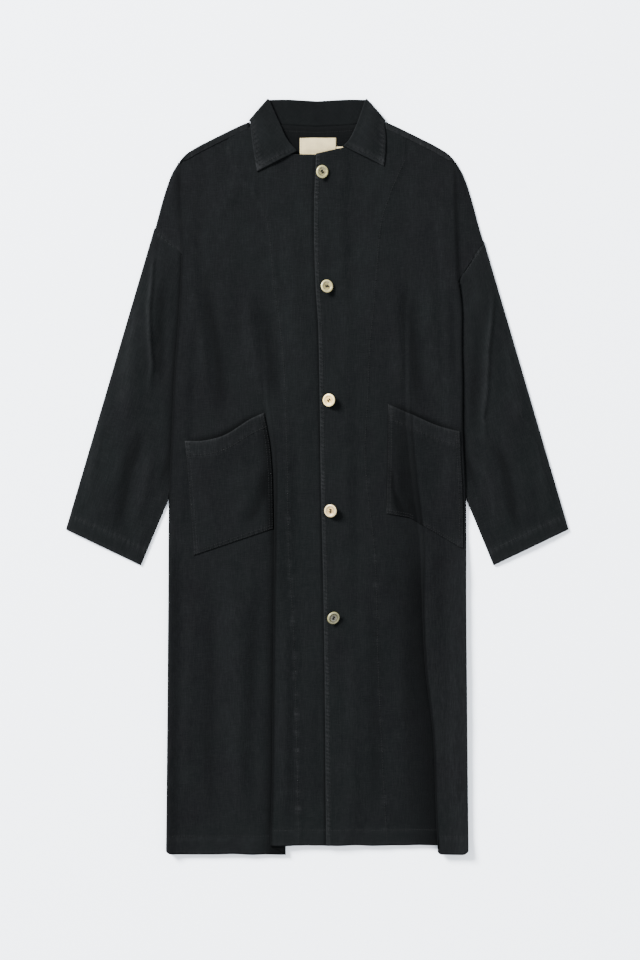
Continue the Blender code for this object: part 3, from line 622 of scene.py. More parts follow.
def seam_relief(side, x, y):
    """Ridges that the sewing leaves on a front, and how pale its worn lines are."""
    inward = SIGN[side] * (curve(FACING[side], y) - x)
    away, along, _ = near_line(facing_line(side), x, y)
    ripple = pucker("facing", away, along)
    height = FACING_STEP * smooth((inward + 1.0) / 3.0) + FACING_RIPPLE * ripple
    lower = 0.25 + 0.75 * smooth((WEAR_START - y) / WEAR_RUN)
    flecks = np.clip(0.35 + 0.9 * uneven(x, y, *WAVES["flecks"]), 0.0, 1.0) ** 1.5
    wear_and_highlight = lower * FACING_WEAR[side] * (ripple + line_tone("facing", away)) * flecks
    hem = hem_height(side, x)
    band = np.abs(y - hem - HEM_BAND)
    height += HEM_STEP * smooth((hem + HEM_BAND - y) / BAND_SLOPE) + HEM_RIPPLE * pucker("hem", band, x)
    wear_and_highlight += line_tone("hem_band", band) * (0.5 + 0.5 * uneven(x, y, *WAVES["hem_wear"]))
    wear_and_highlight += line_tone("hem", y - hem)
    if side == "left":
        inside = x - curve(FRONT_EDGE, y)
        ripple = pucker("front_edge", inside - EDGE_RIDGE, y)
        height += 0.6 * ripple
        wear_and_highlight += 0.8 * ripple ** 1.5 + line_tone("front_edge", inside)
    return height, wear_and_highlight


def edge_roll(side, x, y):
    """How far the stiff cloth stands up where the side and the hem lie free on the floor."""
    to_side = np.maximum(curve(SIDE[side], y) - np.abs(x), 0.0)
    to_hem = np.maximum(y - hem_height(side, x), 0.0)
    free = 1.0 - smooth((y - ROLL_TOP) / ROLL_FADE)
    return free * SIDE_ROLL * bell(to_side, ROLL_WIDTH) + HEM_ROLL * bell(to_hem, ROLL_WIDTH)


def front_height(side, x, y):
    lifted = bed(x, y) + sleeve_lift(side, x, y) + lap_lift(side, x, y)
    return FRONT_LEVEL + lifted + relief(x, y) + edge_roll(side, x, y)


# Sections of the fronts

def pleat(side, y):
    """Section of the pleat at each height: where it starts and ends, its radius, turn, rise and overlap."""
    turn = np.radians(read(PLEAT[side], y, 2))
    overlap = read(PLEAT[side], y, 3)
    bend = mix(PLEAT_BEND_LONG, FOLD_RADIUS * math.pi, turn / math.pi)
    radius = bend / turn
    flat = PLEAT_FLAT + overlap
    end = curve(PLEAT[side], y) + radius * (1.0 - np.cos(turn)) / 2.0
    start = end - 2.0 * radius * np.sin(turn) - flat * np.cos(turn)
    rise = flat * np.sin(turn) + 2.0 * radius * (1.0 - np.cos(turn))
    return start, end, radius, turn, rise, overlap


def front_limits(side, y):
    edge = curve(FRONT_EDGE, y)
    body_side = SIGN[side] * (curve(SIDE[side], y) - EDGE_ROUND - CLOTH / 2)
    if side == "right":
        return body_side, edge + FRONT_LAP
    return edge, body_side


LOW, BEND, TOP = 0, 1, 2


def front_points(side, y, zone, place, limits):
    """x, lift and tilt of a front's points: place is a share of a zone, or a step of the pleat."""
    left, right = limits(y)
    start, end, radius, turn, rise, overlap = pleat(side, y)
    before = place <= PLEAT_STEPS
    step = np.where(before, place, 2 * PLEAT_STEPS + 1 - place)
    tilt = np.where(zone == BEND, turn * step / PLEAT_STEPS, 0.0)
    low_x = mix(left, start, place)
    top_x = mix(end, right, place)
    bend_x = np.where(before, start + radius * np.sin(tilt), end - radius * np.sin(tilt))
    bend_z = np.where(before, radius * (1.0 - np.cos(tilt)), rise - radius * (1.0 - np.cos(tilt)))
    top_z = rise * (1.0 - smooth((top_x - end - overlap) / PLEAT_FALL))
    x = np.where(zone == LOW, low_x, np.where(zone == BEND, bend_x, top_x))
    lift = np.where(zone == LOW, 0.0, np.where(zone == BEND, bend_z, top_z))
    return x, lift, tilt


def zones(low, top):
    """Zone and place of each column, from left to right."""
    steps = np.arange(2 * PLEAT_STEPS + 2)
    zone = [LOW] * len(low) + [BEND] * len(steps) + [TOP] * len(top)
    return np.array(zone), np.concatenate([low, steps, top])


def neck_curve(side, over_back):
    seam = [station[0] for station in COLLAR[side]]
    stations = (4, 6) if over_back else (0, 3)
    points = [tuple(spline(seam, t)) for t in np.linspace(stations[0], stations[1], 25)]
    if not over_back:
        points.append(NECK_END[side])
    return sorted(points)


NECK_FRONT = {side: neck_curve(side, False) for side in SIGN}
NECK_BACK = {side: neck_curve(side, True) for side in SIGN}


def shoulder(x):
    return curve(SHOULDER, np.abs(x))


def front_top(side, x):
    tucked = shoulder(x) - SHOULDER_TUCK
    neck = np.minimum(tucked, read(NECK_FRONT[side], x) - NECK_SEAM)
    return np.where(np.abs(x) > SHOULDER[0][0], tucked, neck)


def hem_height(side, x):
    """Height of the hem over the width of a front; the stretch by the side hangs lower."""
    edge = PLEAT[side][0][1]
    lower = x < edge if side == "right" else x > edge
    return np.where(lower, SIDE_HEM, FRONT_HEM)


def rounded(inside, radius):
    """How far a corner of this radius rises, this far inside the edge."""
    return radius - np.sqrt(radius ** 2 - np.clip(radius - inside, 0.0, radius) ** 2)


def front_hem(side, zone, place, x, y):
    """Hem height of each point: the side stretch hangs lower than the middle, and its corners are round."""
    before = place <= PLEAT_STEPS
    bend_lower = before if side == "right" else ~before
    lower = np.where(zone == BEND, bend_lower, zone == (LOW if side == "right" else TOP))
    corner = rounded(curve(SIDE[side], y) - np.abs(x), CORNER_RADIUS)
    if side == "left":
        corner = corner + rounded(x - curve(PLEAT[side], y), FOLD_CORNER)
    waved = HEM_WAVE * uneven(x, 0 * x, *WAVES["hem_edge"])
    return np.where(lower, SIDE_HEM + corner, FRONT_HEM) + waved


def key_rows(heights, pitch):
    """Row heights from the first key height down to the last, with each key height among them."""
    rows = [heights[0]]
    for upper, lower in zip(heights, heights[1:]):
        count = max(int(round((upper - lower) / pitch)), 1)
        rows += list(np.linspace(upper, lower, count + 1)[1:])
    return np.array(rows)


def toward(rows, start, last, target):
    """Heights of rows from a zone's start on, stretched so that the last one comes to its target."""
    return start + (rows - start) * (target - start) / (last - start)


# Building meshes

class Surface:
    """Points, quads, grain, pale worn tone with painted highlights, and painted shade of a middle surface."""

    def __init__(self):
        self.points = []
        self.faces = []
        self.wear_and_highlight = []
        self.painted_shade = []
        self.grain = []
        self.count = 0

    def add(self, x, y, z, wear_and_highlight=0.0, grain=None, painted_shade=0.0):
        """Adds a grid of points and returns their numbers, in the grid's shape."""
        points = np.stack(np.broadcast_arrays(x, y, z), axis=-1)
        shape = points.shape[:-1]
        self.points.append(points.reshape(-1, 3) * MM)
        self.wear_and_highlight.append(np.broadcast_to(wear_and_highlight, shape).reshape(-1))
        self.painted_shade.append(np.broadcast_to(painted_shade, shape).reshape(-1))
        grain = (points[..., 0], points[..., 1]) if grain is None else grain
        lines = np.stack(np.broadcast_arrays(grain[0], grain[1], points[..., 2]), axis=-1)
        self.grain.append(lines.reshape(-1, 3) * MM)
        ids = np.arange(self.count, self.count + points[..., 0].size).reshape(shape)
        self.count += ids.size
        return ids

    def join(self, ids, closed=False):
        """Quads between rows that run to +X, listed from the top down, so that they face up."""
        if closed:
            ids = np.concatenate([ids, ids[:, :1]], axis=1)
        quads = np.stack([ids[:-1, :-1], ids[1:, :-1], ids[1:, 1:], ids[:-1, 1:]], axis=-1)
        self.faces.append(quads.reshape(-1, 4))

    def join_outward(self, side, columns):
        """The same for groups of columns that are listed from the body outwards."""
        ids = np.concatenate(columns, axis=1)
        self.join(ids[:, ::-1] if side == "right" else ids)


def put(name, mesh, finish):
    made = bpy.data.objects.new(name, mesh)
    bpy.context.scene.collection.objects.link(made)
    made.data.materials.append(finish)
    return made


def cloth(piece, surface, finish, thickness=CLOTH):
    mesh = bpy.data.meshes.new(piece)
    points = np.concatenate(surface.points)
    faces = np.concatenate(surface.faces)
    mesh.from_pydata(points.tolist(), [], faces.tolist())
    mesh.shade_smooth()
    for name, values in (("wear_and_highlight", surface.wear_and_highlight), ("painted_shade", surface.painted_shade)):
        tone = mesh.attributes.new(name, "FLOAT", "POINT")
        tone.data.foreach_set("value", np.clip(np.concatenate(values), 0, 1))
    grain = mesh.attributes.new("grain", "FLOAT_VECTOR", "POINT")
    grain.data.foreach_set("vector", np.concatenate(surface.grain).reshape(-1))
    made = put(piece, mesh, finish)
    shell = made.modifiers.new("cloth", "SOLIDIFY")
    shell.thickness = thickness * MM
    shell.offset = 0.0
    shell.use_even_offset = True
    return made


def stitch_row(points, phase=0.0):
    """Places and directions of stitches along a line of points in space."""
    points = np.array(points, float)
    steps = np.linalg.norm(np.diff(points, axis=0), axis=1)
    run = np.concatenate([[0.0], np.cumsum(steps)])
    places = np.arange(STITCH_PITCH * (0.5 + phase), run[-1] - STITCH_LENGTH / 2, STITCH_PITCH)
    ends = []
    for shift in (-0.5, 0.5):
        at = places + shift * STITCH_LENGTH
        ends.append(np.stack([np.interp(at, run, points[:, k]) for k in range(3)], axis=-1))
    return ends


def stitches(name, rows, finish):
    """One mesh of all the stitches of a piece, each a small bowed spindle of thread."""
    start = np.concatenate([row[0] for row in rows])
    end = np.concatenate([row[1] for row in rows])
    way = end - start
    way = way / np.linalg.norm(way, axis=1, keepdims=True)
    up = np.array((0.0, 0.0, 1.0))
    across = np.cross(up, way)
    across = across / np.linalg.norm(across, axis=1, keepdims=True)
    rings = []
    for share, size in STITCH_RINGS:
        middle = mix(start, end, share) + up * (STITCH_HEIGHT * (size - STITCH_SINK))
        half = across * (STITCH_WIDTH / 2 * size)
        rise = up * (STITCH_HEIGHT / 2 * size)
        rings.append(np.stack([middle - half, middle + rise, middle + half, middle - rise], axis=1))
    points = np.stack(rings, axis=1).reshape(-1, 3)
    quads = []
    for ring in range(3):
        for k in range(4):
            a = ring * 4 + k
            b = ring * 4 + (k + 1) % 4
            quads.append((a, a + 4, b + 4, b))
    quads += [(0, 1, 2, 3), (15, 14, 13, 12)]
    faces = (np.array(quads)[None] + 16 * np.arange(len(start))[:, None, None]).reshape(-1, 4)
    mesh = bpy.data.meshes.new(name)
    mesh.from_pydata((points * MM).tolist(), [], faces.tolist())
    mesh.shade_smooth()
    return put(name, mesh, finish)


def on_top(x, y, z, rise=STITCH_RISE):
    """Points just above the upper face of a cloth whose middle surface is given."""
    return np.stack(np.broadcast_arrays(x, y, z + CLOTH / 2 + rise), axis=-1)


def sewn_cloth(name, surface, rows, finish, thread, thickness=CLOTH):
    """The cloth of a piece, and the stitches on it."""
    made = cloth(name + "_cloth", surface, finish, thickness)
    return made, stitches(name + "_stitches", rows, thread)


def row_on(grid, part, rise=STITCH_RISE):
    """Stitches along a part of a grid of points, which is given as its x, y and z."""
    x, y, z = (values[part] for values in grid)
    return stitch_row(on_top(x, y, z, rise))


def crossing(keys, at, line):
    """Point of a line, given as its x, y and z, where the keys beside it reach a value."""
    order = np.argsort(keys)
    return [np.interp(at, keys[order], values[order]) for values in line]


def row_through(points, phase=0.0):
    x, y, z = np.array(points).T
    return stitch_row(on_top(x, y, z), phase)


def armhole_outer(side):
    y = ARMHOLE[side]["outer"]
    return SIGN[side] * float(curve(SHOULDER_DROP, y)), y


def armhole_inner(side):
    y = ARMHOLE[side]["inner"]
    return SIGN[side] * float(curve(SIDE[side], y)), y


def armhole_hidden(side):
    outer_x, outer_y = armhole_outer(side)
    inner_x, inner_y = armhole_inner(side)
    slope = (inner_y - outer_y) / (inner_x - outer_x)
    x = inner_x - SIGN[side] * TUCK
    return x, inner_y + slope * (x - inner_x)


def sleeve_inner_x(side, y):
    share = (SLEEVE_FREE - y) / (SLEEVE_FREE - CUFF_INNER[1])
    free = mix(float(curve(SIDE[side], SLEEVE_FREE)), CUFF_INNER[0], share)
    tucked = curve(SIDE[side], y) - TUCK * smooth((y - SLEEVE_FREE) / TUCK_LENGTH)
    return SIGN[side] * np.where(y < SLEEVE_FREE, free, tucked)


def back_limit(side, y):
    clear = 2 * SEAM + CLOTH + EDGE_ROUND / 2
    hidden_x, hidden_y = armhole_hidden(side)
    outer_x, outer_y = armhole_outer(side)
    sign = SIGN[side]
    seam_start = hidden_x - sign * HIDDEN_SEAM
    share = np.clip((y - hidden_y) / (outer_y - hidden_y), 0.0, 1.0)
    seam = mix(seam_start, outer_x - sign * clear, share)
    tucked = sleeve_inner_x(side, y) - sign * HIDDEN_SEAM
    limit = np.where(y < hidden_y, tucked, seam)
    limit = np.where(y < SLEEVE_FREE, sign * (curve(SIDE[side], y) - clear), limit)
    return np.where(y > outer_y, sign * (curve(SHOULDER_DROP, y) - clear), limit)


def back_height(x, y):
    return BACK_LEVEL + bed(x, y)


def back_top(x):
    neck = np.where(x > 0, read(NECK_BACK["left"], x), read(NECK_BACK["right"], x)) + NECK_LAP
    return np.where(np.abs(x) > SHOULDER[0][0], shoulder(x), neck)


def back_flat_top(x):
    fold = back_top(x) - SHOULDER_RADIUS - CLOTH / 2
    return np.where(np.abs(x) < SHOULDER_START, back_top(x), fold)


def fold_shoulder(surface, side, x, y, z, ids):
    """Folds the top row of the back over to the front, where it is sewn down."""
    rows = [ids]
    for turn in np.linspace(0.0, math.pi, 9)[1:]:
        bent_y = y + SHOULDER_RADIUS * math.sin(turn)
        bent_z = z + SHOULDER_RADIUS * (1.0 - math.cos(turn))
        rows.insert(0, surface.add(x, bent_y, bent_z, SHOULDER_FOLD_WEAR))
    lap = SHOULDER_LAP * smooth((SHOULDER[-1][0] - np.abs(x)) / SHOULDER_TAPER)
    wave = 0.5 + 0.5 * np.sin(x / SHOULDER_WAVE + 2.0 * uneven(x, 0 * x, *WAVES["shoulder"]))
    for share in np.linspace(0.0, 1.0, 7)[1:]:
        lap_y = mix(y, np.minimum(shoulder(x) - lap, y - 1.0), share)
        flush = front_height(side, x, lap_y) + SHOULDER_STEP[side]
        lap_z = mix(back_height(x, y) + 2 * LEVEL, flush, smooth(share)) + SHOULDER_RIPPLE * share * wave
        paled = SHOULDER_WEAR[side] * (0.3 + 0.7 * wave * share)
        rows.insert(0, surface.add(x, lap_y, lap_z, paled))
    surface.join(np.array(rows))


def build_back(finish, thread):
    surface = Surface()
    shares = np.linspace(0.0, 1.0, BACK_COLUMNS)[None, :]
    nominal = key_rows([TOP_ROW, TOP_ZONE, SLEEVE_FREE, BACK_HEM], BACK_PITCH)[:, None]
    y = nominal + 0 * shares
    for _ in range(FIT_ROUNDS):
        x = mix(back_limit("right", y), back_limit("left", y), shares)
        y = np.where(nominal > TOP_ZONE, toward(nominal, TOP_ZONE, TOP_ROW, back_flat_top(x)), nominal)
    x = mix(back_limit("right", y), back_limit("left", y), shares)
    z = back_height(x, y)
    below = back_top(x) - y
    at_neck = np.abs(x) < SHOULDER[0][0]
    ridge = NECK_RIDGE * bell(below - NECK_ROW, 4.0) * at_neck
    lap = NECK_RISE * smooth(1.0 - below / NECK_SLOPE) * at_neck
    # The back gets painted shade, seen inside the neck
    ids = surface.add(x, y, z + ridge + lap, ridge, None, NECK_SHADE)
    surface.join(ids)
    for side in SIGN:
        part = (0, SIGN[side] * x[0] > SHOULDER_START)
        fold_shoulder(surface, side, x[part], y[part], z[part], ids[part])
    line = np.linspace(-NECK_ROW_HALF, NECK_ROW_HALF, 40)
    row = stitch_row(on_top(line, back_top(line) - NECK_ROW, back_height(line, NECK_ROW_LEVEL)))
    return sewn_cloth("back", surface, [row], finish, thread)


def pleat_shade(side, x, y, zone):
    """Deeper tone on the low side of a pleat, where its edge keeps the light out."""
    start, _, _, turn, _, _ = pleat(side, y)
    steep = smooth(turn / math.pi * 1.6)
    away = np.maximum(np.minimum(start, curve(PLEAT[side], y)) - x, 0.0)
    low = np.where(zone == TOP, 0.0, np.exp(-(away / PLEAT_SHADE[side]) ** 1.5))
    return 0.95 * steep * low


def pleat_highlight(side, x, y, zone):
    """Painted highlight on the crown of the wearer's left pleat."""
    if side == "right":
        return 0.0
    _, end, _, turn, _, overlap = pleat(side, y)
    crown = line_tone("crown", x - end - overlap - CROWN_AWAY)
    return smooth(turn / math.pi * 1.4) * np.where(zone == TOP, crown, 0.0)


def mouth_shade(side, x, y):
    """Painted shadow inside the mouth of a pocket, just above its hanging edge."""
    mouth = POCKET_MOUTH[side]
    first, last = mouth[0][0], mouth[-1][0]
    share = np.clip((x - first) / (last - first), 0.0, 1.0)
    above = y - curve(mouth, x)
    return np.sin(math.pi * share) ** 0.7 * line_tone("in_mouth", above - 1.0)


def front_columns(side):
    """Zone and place of each column of a front, closer together towards the side."""
    low_count, top_count = FRONT_COUNTS[side]
    low = np.linspace(0.0, 1.0, low_count, endpoint=False)
    top = np.linspace(0.0, 1.0, top_count + 1)[1:]
    if side == "right":
        return zones(low ** CROWDING, top)
    return zones(low, 1.0 - (1.0 - top) ** CROWDING)


def turned_edge(surface, side, x, y, z, drop, painted_shade=0.0):
    """Adds columns that turn an edge down, from the edge outwards, and round its corner at the hem."""
    turn = np.linspace(0.0, math.pi / 2, 6)[None, 1:]
    out_x = x + SIGN[side] * EDGE_ROUND * np.sin(turn)
    out_z = z - drop * (1.0 - np.cos(turn))
    inside = EDGE_ROUND * (1.0 - np.sin(turn)) + CLOTH / 2
    rise = rounded(inside, CORNER_RADIUS) - rounded(EDGE_ROUND + CLOTH / 2, CORNER_RADIUS)
    to_hem = np.clip((HEM_ZONE - y) / (HEM_ZONE - SIDE_HEM), 0.0, 1.0)
    return surface.add(out_x, y + rise * to_hem, out_z, TURNED_WEAR, None, painted_shade)


def drop_shoulder(surface, side, x, y, z, ids):
    """Adds the dropped shoulder beside the body, down to the armhole seam, from this column of its edge."""
    share = np.arange(len(x))[:, None] / (len(x) - 1)
    outer_y = mix(SHOULDER_DROP[-1][0] + 2.0, ARMHOLE[side]["outer"], share)
    outer_x = SIGN[side] * (curve(SHOULDER_DROP, outer_y) - EDGE_ROUND - CLOTH / 2)
    step = np.linspace(0.0, 1.0, WING_COLUMNS + 1)[None, 1:]
    wing_x = mix(x, outer_x, step)
    wing_y = mix(y, outer_y, step)
    out = step * np.hypot(outer_x - x, outer_y - y)
    to_seam = (1.0 - share) * (y[0] - ARMHOLE[side]["inner"])
    level = FRONT_LEVEL + bed(wing_x, wing_y) + relief(wing_x, wing_y) * (1.0 - smooth((step - 0.6) / 0.4))
    pinch = bell(to_seam, SEAM_REACH) * (SEAM_RIPPLE * np.sin(out / SEAM_WAVE) - SEAM_PINCH)
    wing_z = mix(z, level, smooth(out / WING_SLOPE)) + pinch
    wear_and_highlight = line_tone("armhole", to_seam) * (0.5 + 0.5 * uneven(wing_x, wing_y, *WAVES["armhole"]))
    # Painted shade where the dropped shoulder falls away beside the body
    wing = surface.add(wing_x, wing_y, wing_z, wear_and_highlight, None, line_tone("wing", out) * smooth(share / 0.25))
    last_x, last_y, last_z = (values[:, -1:] for values in (wing_x, wing_y, wing_z))
    turned = turned_edge(surface, side, last_x, last_y, last_z, last_z - FLOOR_CLEAR)
    surface.join_outward(side, [ids, wing, turned])


def front_stitches(side, zone, nominal, grid):
    """Rows along the facing, the front edge and the hem."""
    lines = [(FACING[side], 0.0, 0.0)]
    if side == "left":
        lines += [(FRONT_EDGE, distance, phase) for distance, phase in EDGE_ROWS]
        columns = np.flatnonzero(zone == LOW)
    else:
        columns = np.flatnonzero(zone != LOW)[2 * PLEAT_STEPS + 1:]
    rows = []
    for table, distance, phase in lines:
        path = []
        for line in zip(*(values[:, columns] for values in grid)):
            at = float(curve(table, float(np.mean(line[1])))) + distance
            if line[0].min() < at < line[0].max():
                path.append(crossing(line[0], at, line))
        rows.append(row_through(path, phase))
    hem_row = int(np.argmin(np.abs(nominal - FRONT_HEM - HEM_BAND)))
    return rows + [row_on(grid, (hem_row, zone == part)) for part in (LOW, TOP)]


def build_front(side, finish, thread):
    surface = Surface()
    zone, place = front_columns(side)
    inner = ARMHOLE[side]["inner"]
    nominal = key_rows([TOP_ROW, TOP_ZONE, inner, FLOOR_START, HEM_ZONE, FRONT_HEM], FRONT_PITCH)[:, None]
    last = int(np.argmin(np.abs(nominal - inner)))

    def limits(y):
        return front_limits(side, y)

    y = nominal + 0 * place
    for _ in range(FIT_ROUNDS):
        x = front_points(side, y, zone, place, limits)[0]
        up = toward(nominal, TOP_ZONE, TOP_ROW, front_top(side, x))
        down = toward(nominal, HEM_ZONE, FRONT_HEM, front_hem(side, zone, place, x, y))
        y = np.where(nominal > TOP_ZONE, up, np.where(nominal < HEM_ZONE, down, nominal))
    x, lift, _ = front_points(side, y, zone, place, limits)
    seams, wear_and_highlight = seam_relief(side, x, y)
    z = front_height(side, x, y) + lift + np.where(zone == BEND, 0.0, seams)
    creased = crease_height(CREASES, x, y)
    to_side = curve(SIDE[side], y) - np.abs(x)
    on_sleeve = smooth((y - COVER_START) / COVER_RUN)
    # Pale wear along the free side, and a painted highlight on the crown of the left pleat
    wear_and_highlight = wear_and_highlight + line_tone("side", to_side) * (1.0 - on_sleeve) + pleat_highlight(side, x, y, zone)
    # Painted highlight on crease crests
    wear_and_highlight = wear_and_highlight + CREST_HIGHLIGHT * np.maximum(creased, 0.0)
    # Painted shade in crease hollows, where the side edge lies on the sleeve, below the pleats, inside the
    # pocket mouths, and as the shadow of the upper front's edge on the lower front
    painted_shade = np.maximum(-creased, 0.0) / FRONT_HOLLOW + line_tone("side_on_sleeve", to_side) * on_sleeve
    painted_shade = painted_shade + pleat_shade(side, x, y, zone) + mouth_shade(side, x, y)
    if side == "right":
        painted_shade = painted_shade + line_tone("under_edge", x - curve(FRONT_EDGE, y) + 0.5)
    ids = surface.add(x, y, z, wear_and_highlight, None, painted_shade)
    surface.join(ids)

    # The side edge turns down onto the sleeve below the dropped shoulder, and further down to the floor
    edge = slice(0, 1) if side == "right" else slice(len(zone) - 1, None)
    upper = (slice(0, last + 1), edge)
    drop_shoulder(surface, side, x[upper], y[upper], z[upper], ids[upper])
    lower = (slice(last, None), edge)
    to_floor = 1.0 - smooth((y[lower] - FLOOR_START) / FLOOR_RUN)
    drop = mix(EDGE_DROP, z[lower] - FLOOR_CLEAR, to_floor)
    # The turned edge gets painted shade where it lies on the sleeve
    turned = turned_edge(surface, side, x[lower], y[lower], z[lower], drop, EDGE_SHADE * on_sleeve[lower])
    surface.join_outward(side, [ids[lower], turned])
    rows = front_stitches(side, zone, nominal[:, 0], (x, y, z))
    return sewn_cloth("front_" + side, surface, rows, finish, thread)


def sleeve_height(share, along):
    """Height of the upper layer of a sleeve over the share of its width and length."""
    ridge = bell(share - 0.36, 0.16) * smooth(along / 0.2) * (1 - 0.6 * smooth((along - 0.5) / 0.5))
    swell = 0.5 * np.sin(math.pi * np.minimum(share / 0.7, 1.0)) * smooth(along / 0.3)
    return SLEEVE_SWELL * (0.55 * ridge + swell) * (1 - 0.5 * smooth((along - 0.85) / 0.15))


def sleeve_outer(side, along):
    start_x, start_y = armhole_outer(side)
    x = mix(start_x, SIGN[side] * CUFF_OUTER[0], along)
    return np.stack([x, mix(start_y + SLEEVE_UNDER[0], CUFF_OUTER[1], along)], -1)


def sleeve_inner(side, along):
    y = mix(armhole_hidden(side)[1] + SLEEVE_UNDER[1], CUFF_INNER[1], along)
    return np.stack([sleeve_inner_x(side, y), y], -1)


def outward(side, along, edge, other):
    """The way that points out of the sleeve, square to one of its edges."""
    run = edge(side, np.minimum(along + WAY_STEP, 1.0)) - edge(side, np.maximum(along - WAY_STEP, 0.0))
    way = np.stack([run[:, 1], -run[:, 0]], -1) / np.linalg.norm(run, axis=1, keepdims=True)
    facing = np.sum(way * (edge(side, along) - other(side, along)), axis=1, keepdims=True)
    return np.where(facing < 0, -way, way)


def build_sleeve(side, finish, thread):
    """A flattened tube: upper layer, inner fold, lower layer on the floor and outer fold."""
    surface = Surface()
    along = np.linspace(0.0, 1.0, SLEEVE_ROWS)
    outer_way = outward(side, along, sleeve_outer, sleeve_inner)
    inner_way = outward(side, along, sleeve_inner, sleeve_outer)
    start = sleeve_outer(side, along) - outer_way * (FOLD_RADIUS + CLOTH / 2)
    end = sleeve_inner(side, along) - inner_way * (FOLD_RADIUS + CLOTH / 2)
    along = along[:, None]
    share = np.linspace(0.0, 1.0, SLEEVE_COLUMNS + 2)[None, 1:-1]
    width = np.linalg.norm(end - start, axis=1)[:, None]
    x = mix(start[:, :1], end[:, :1], share)
    y = mix(start[:, 1:], end[:, 1:], share)
    across = share * width
    inside = (1.0 - share) * width
    down = along * SLEEVE_LENGTH
    to_cuff = (1.0 - along) * SLEEVE_LENGTH
    free = smooth(inside / SLEEVE_FADE["inside"])
    held = smooth((inside - TUCK - TUCK_CLEAR) / SLEEVE_FADE["tuck"])
    loose = smooth(across / SLEEVE_FADE["outside"]) * np.where(y < SLEEVE_FREE, free, held)
    creased = crease_height(SLEEVE_CREASES, x, y)
    cuff_ripple = pucker("cuff", to_cuff - CUFF_BAND, across)
    seam_ripple = pucker("armhole", down - 4.0, across)
    z = FRONT_LEVEL + sleeve_height(share, along) + loose * np.maximum(creased + crumple(x, y) + 0.5, -0.6)
    z = z + HEM_STEP * smooth((CUFF_BAND - to_cuff) / BAND_SLOPE) + HEM_RIPPLE * cuff_ripple * loose
    z = z + 0.4 * seam_ripple * loose - (1.0 - smooth(down / SEAM_SINK))
    wear_and_highlight = 0.3 * cuff_ripple + line_tone("cuff", to_cuff) + 0.45 * seam_ripple * smooth((0.75 - share) / 0.3)
    # Pale wear at the outer fold, and a painted highlight on the crests of the creases
    wear_and_highlight = wear_and_highlight + line_tone("sleeve_fold", across) + 0.12 * np.maximum(creased - 0.6, 0.0)
    # Painted shade on the sleeve beside the body's edge, and in crease hollows
    tucked = smooth((y - SLEEVE_FREE) / 60.0)
    painted_shade = line_tone("under_body", np.maximum(inside - TUCK, 0.0)) * tucked
    painted_shade = np.maximum(-creased, 0.0) / HOLLOW + painted_shade
    turn = np.linspace(0.0, math.pi, 9)[None, :]

    def fold(line, way, rise, wear_and_highlight, across):
        """Adds the bend between the layers along one edge."""
        bend_x = line[:, :1] + way[:, :1] * FOLD_RADIUS * np.sin(turn)
        bend_y = line[:, 1:] + way[:, 1:] * FOLD_RADIUS * np.sin(turn)
        return surface.add(bend_x, bend_y, BACK_LEVEL + FOLD_RADIUS * rise, wear_and_highlight, (across, -down))

    under = np.linspace(0.95, 0.05, 14)[None, :]
    under_x = mix(start[:, :1], end[:, :1], under)
    under_y = mix(start[:, 1:], end[:, 1:], under)
    ring = np.concatenate([
        surface.add(x, y, z, wear_and_highlight, (across, -down), painted_shade),
        fold(end, inner_way, 1.0 + np.cos(turn), 0.15, width),
        surface.add(under_x, under_y, BACK_LEVEL, 0.0, (-under * width, -down)),
        fold(start, outer_way, 1.0 - np.cos(turn), 0.2, 0.0),
    ], axis=1)
    surface.join(ring if side == "right" else ring[:, ::-1], closed=True)

    # Stitches round the cuff, and beside the armhole seam where it shows
    rows = []
    for distance, seen in ((SLEEVE_LENGTH - CUFF_BAND, 1.0), (SLEEVE_ROW, 0.6)):
        i = int(round(distance / SLEEVE_LENGTH * (SLEEVE_ROWS - 1)))
        rows.append(row_on((x, y, z), (i, slice(0, int(seen * SLEEVE_COLUMNS)))))
    return sewn_cloth("sleeve_" + side, surface, rows, finish, thread)


def collar_section(side, place):
    """Middle surface across the collar at one place: stand, roll and fall."""
    stations = COLLAR[side]
    seam, roll, outer = (spline([row[k] for row in stations], place) for k in range(3))
    k = min(int(place), len(stations) - 2)
    turn = math.radians(mix(stations[k][3], stations[k + 1][3], place - k))
    if 3 <= place <= 4:
        seam, roll, outer = (np.array(stations[3][k], float) for k in range(3))
    outward_way = np.array((SIGN[side] * COLLAR_OUTWARD[0], COLLAR_OUTWARD[1]))
    stand = (roll - seam) / np.linalg.norm(roll - seam)
    fall = (outer - roll) / np.linalg.norm(outer - roll)
    plan = [(mix(seam, roll, share), 1.0, 0.0) for share in np.linspace(0.0, 0.92, STAND_POINTS)]
    for k in range(BEND_POINTS):
        share = k / (BEND_POINTS - 1)
        bend = math.pi * k / (BEND_POINTS - 1)
        direction = mix(stand, -fall, share)
        plan.append((roll + direction * FOLD_RADIUS * math.sin(bend), 2.0 - math.cos(bend), 0.0))
    plan += [(mix(roll, outer, share), 3.0, share) for share in np.linspace(0.06, 1.0, FALL_POINTS)]
    width = np.linalg.norm(outer - roll)
    points = []
    for spot, level, share in plan:
        away = level * FOLD_RADIUS
        x, y = spot + outward_way * away * math.sin(turn)
        puff = COLLAR_PUFF * math.sin(math.pi * share) ** 2 * math.cos(turn / 2.0)
        z = away * math.cos(turn) + puff - FOLD_RADIUS
        points.append((x, y, z, (1.0 - share) * width, spot[0], spot[1]))
    return points


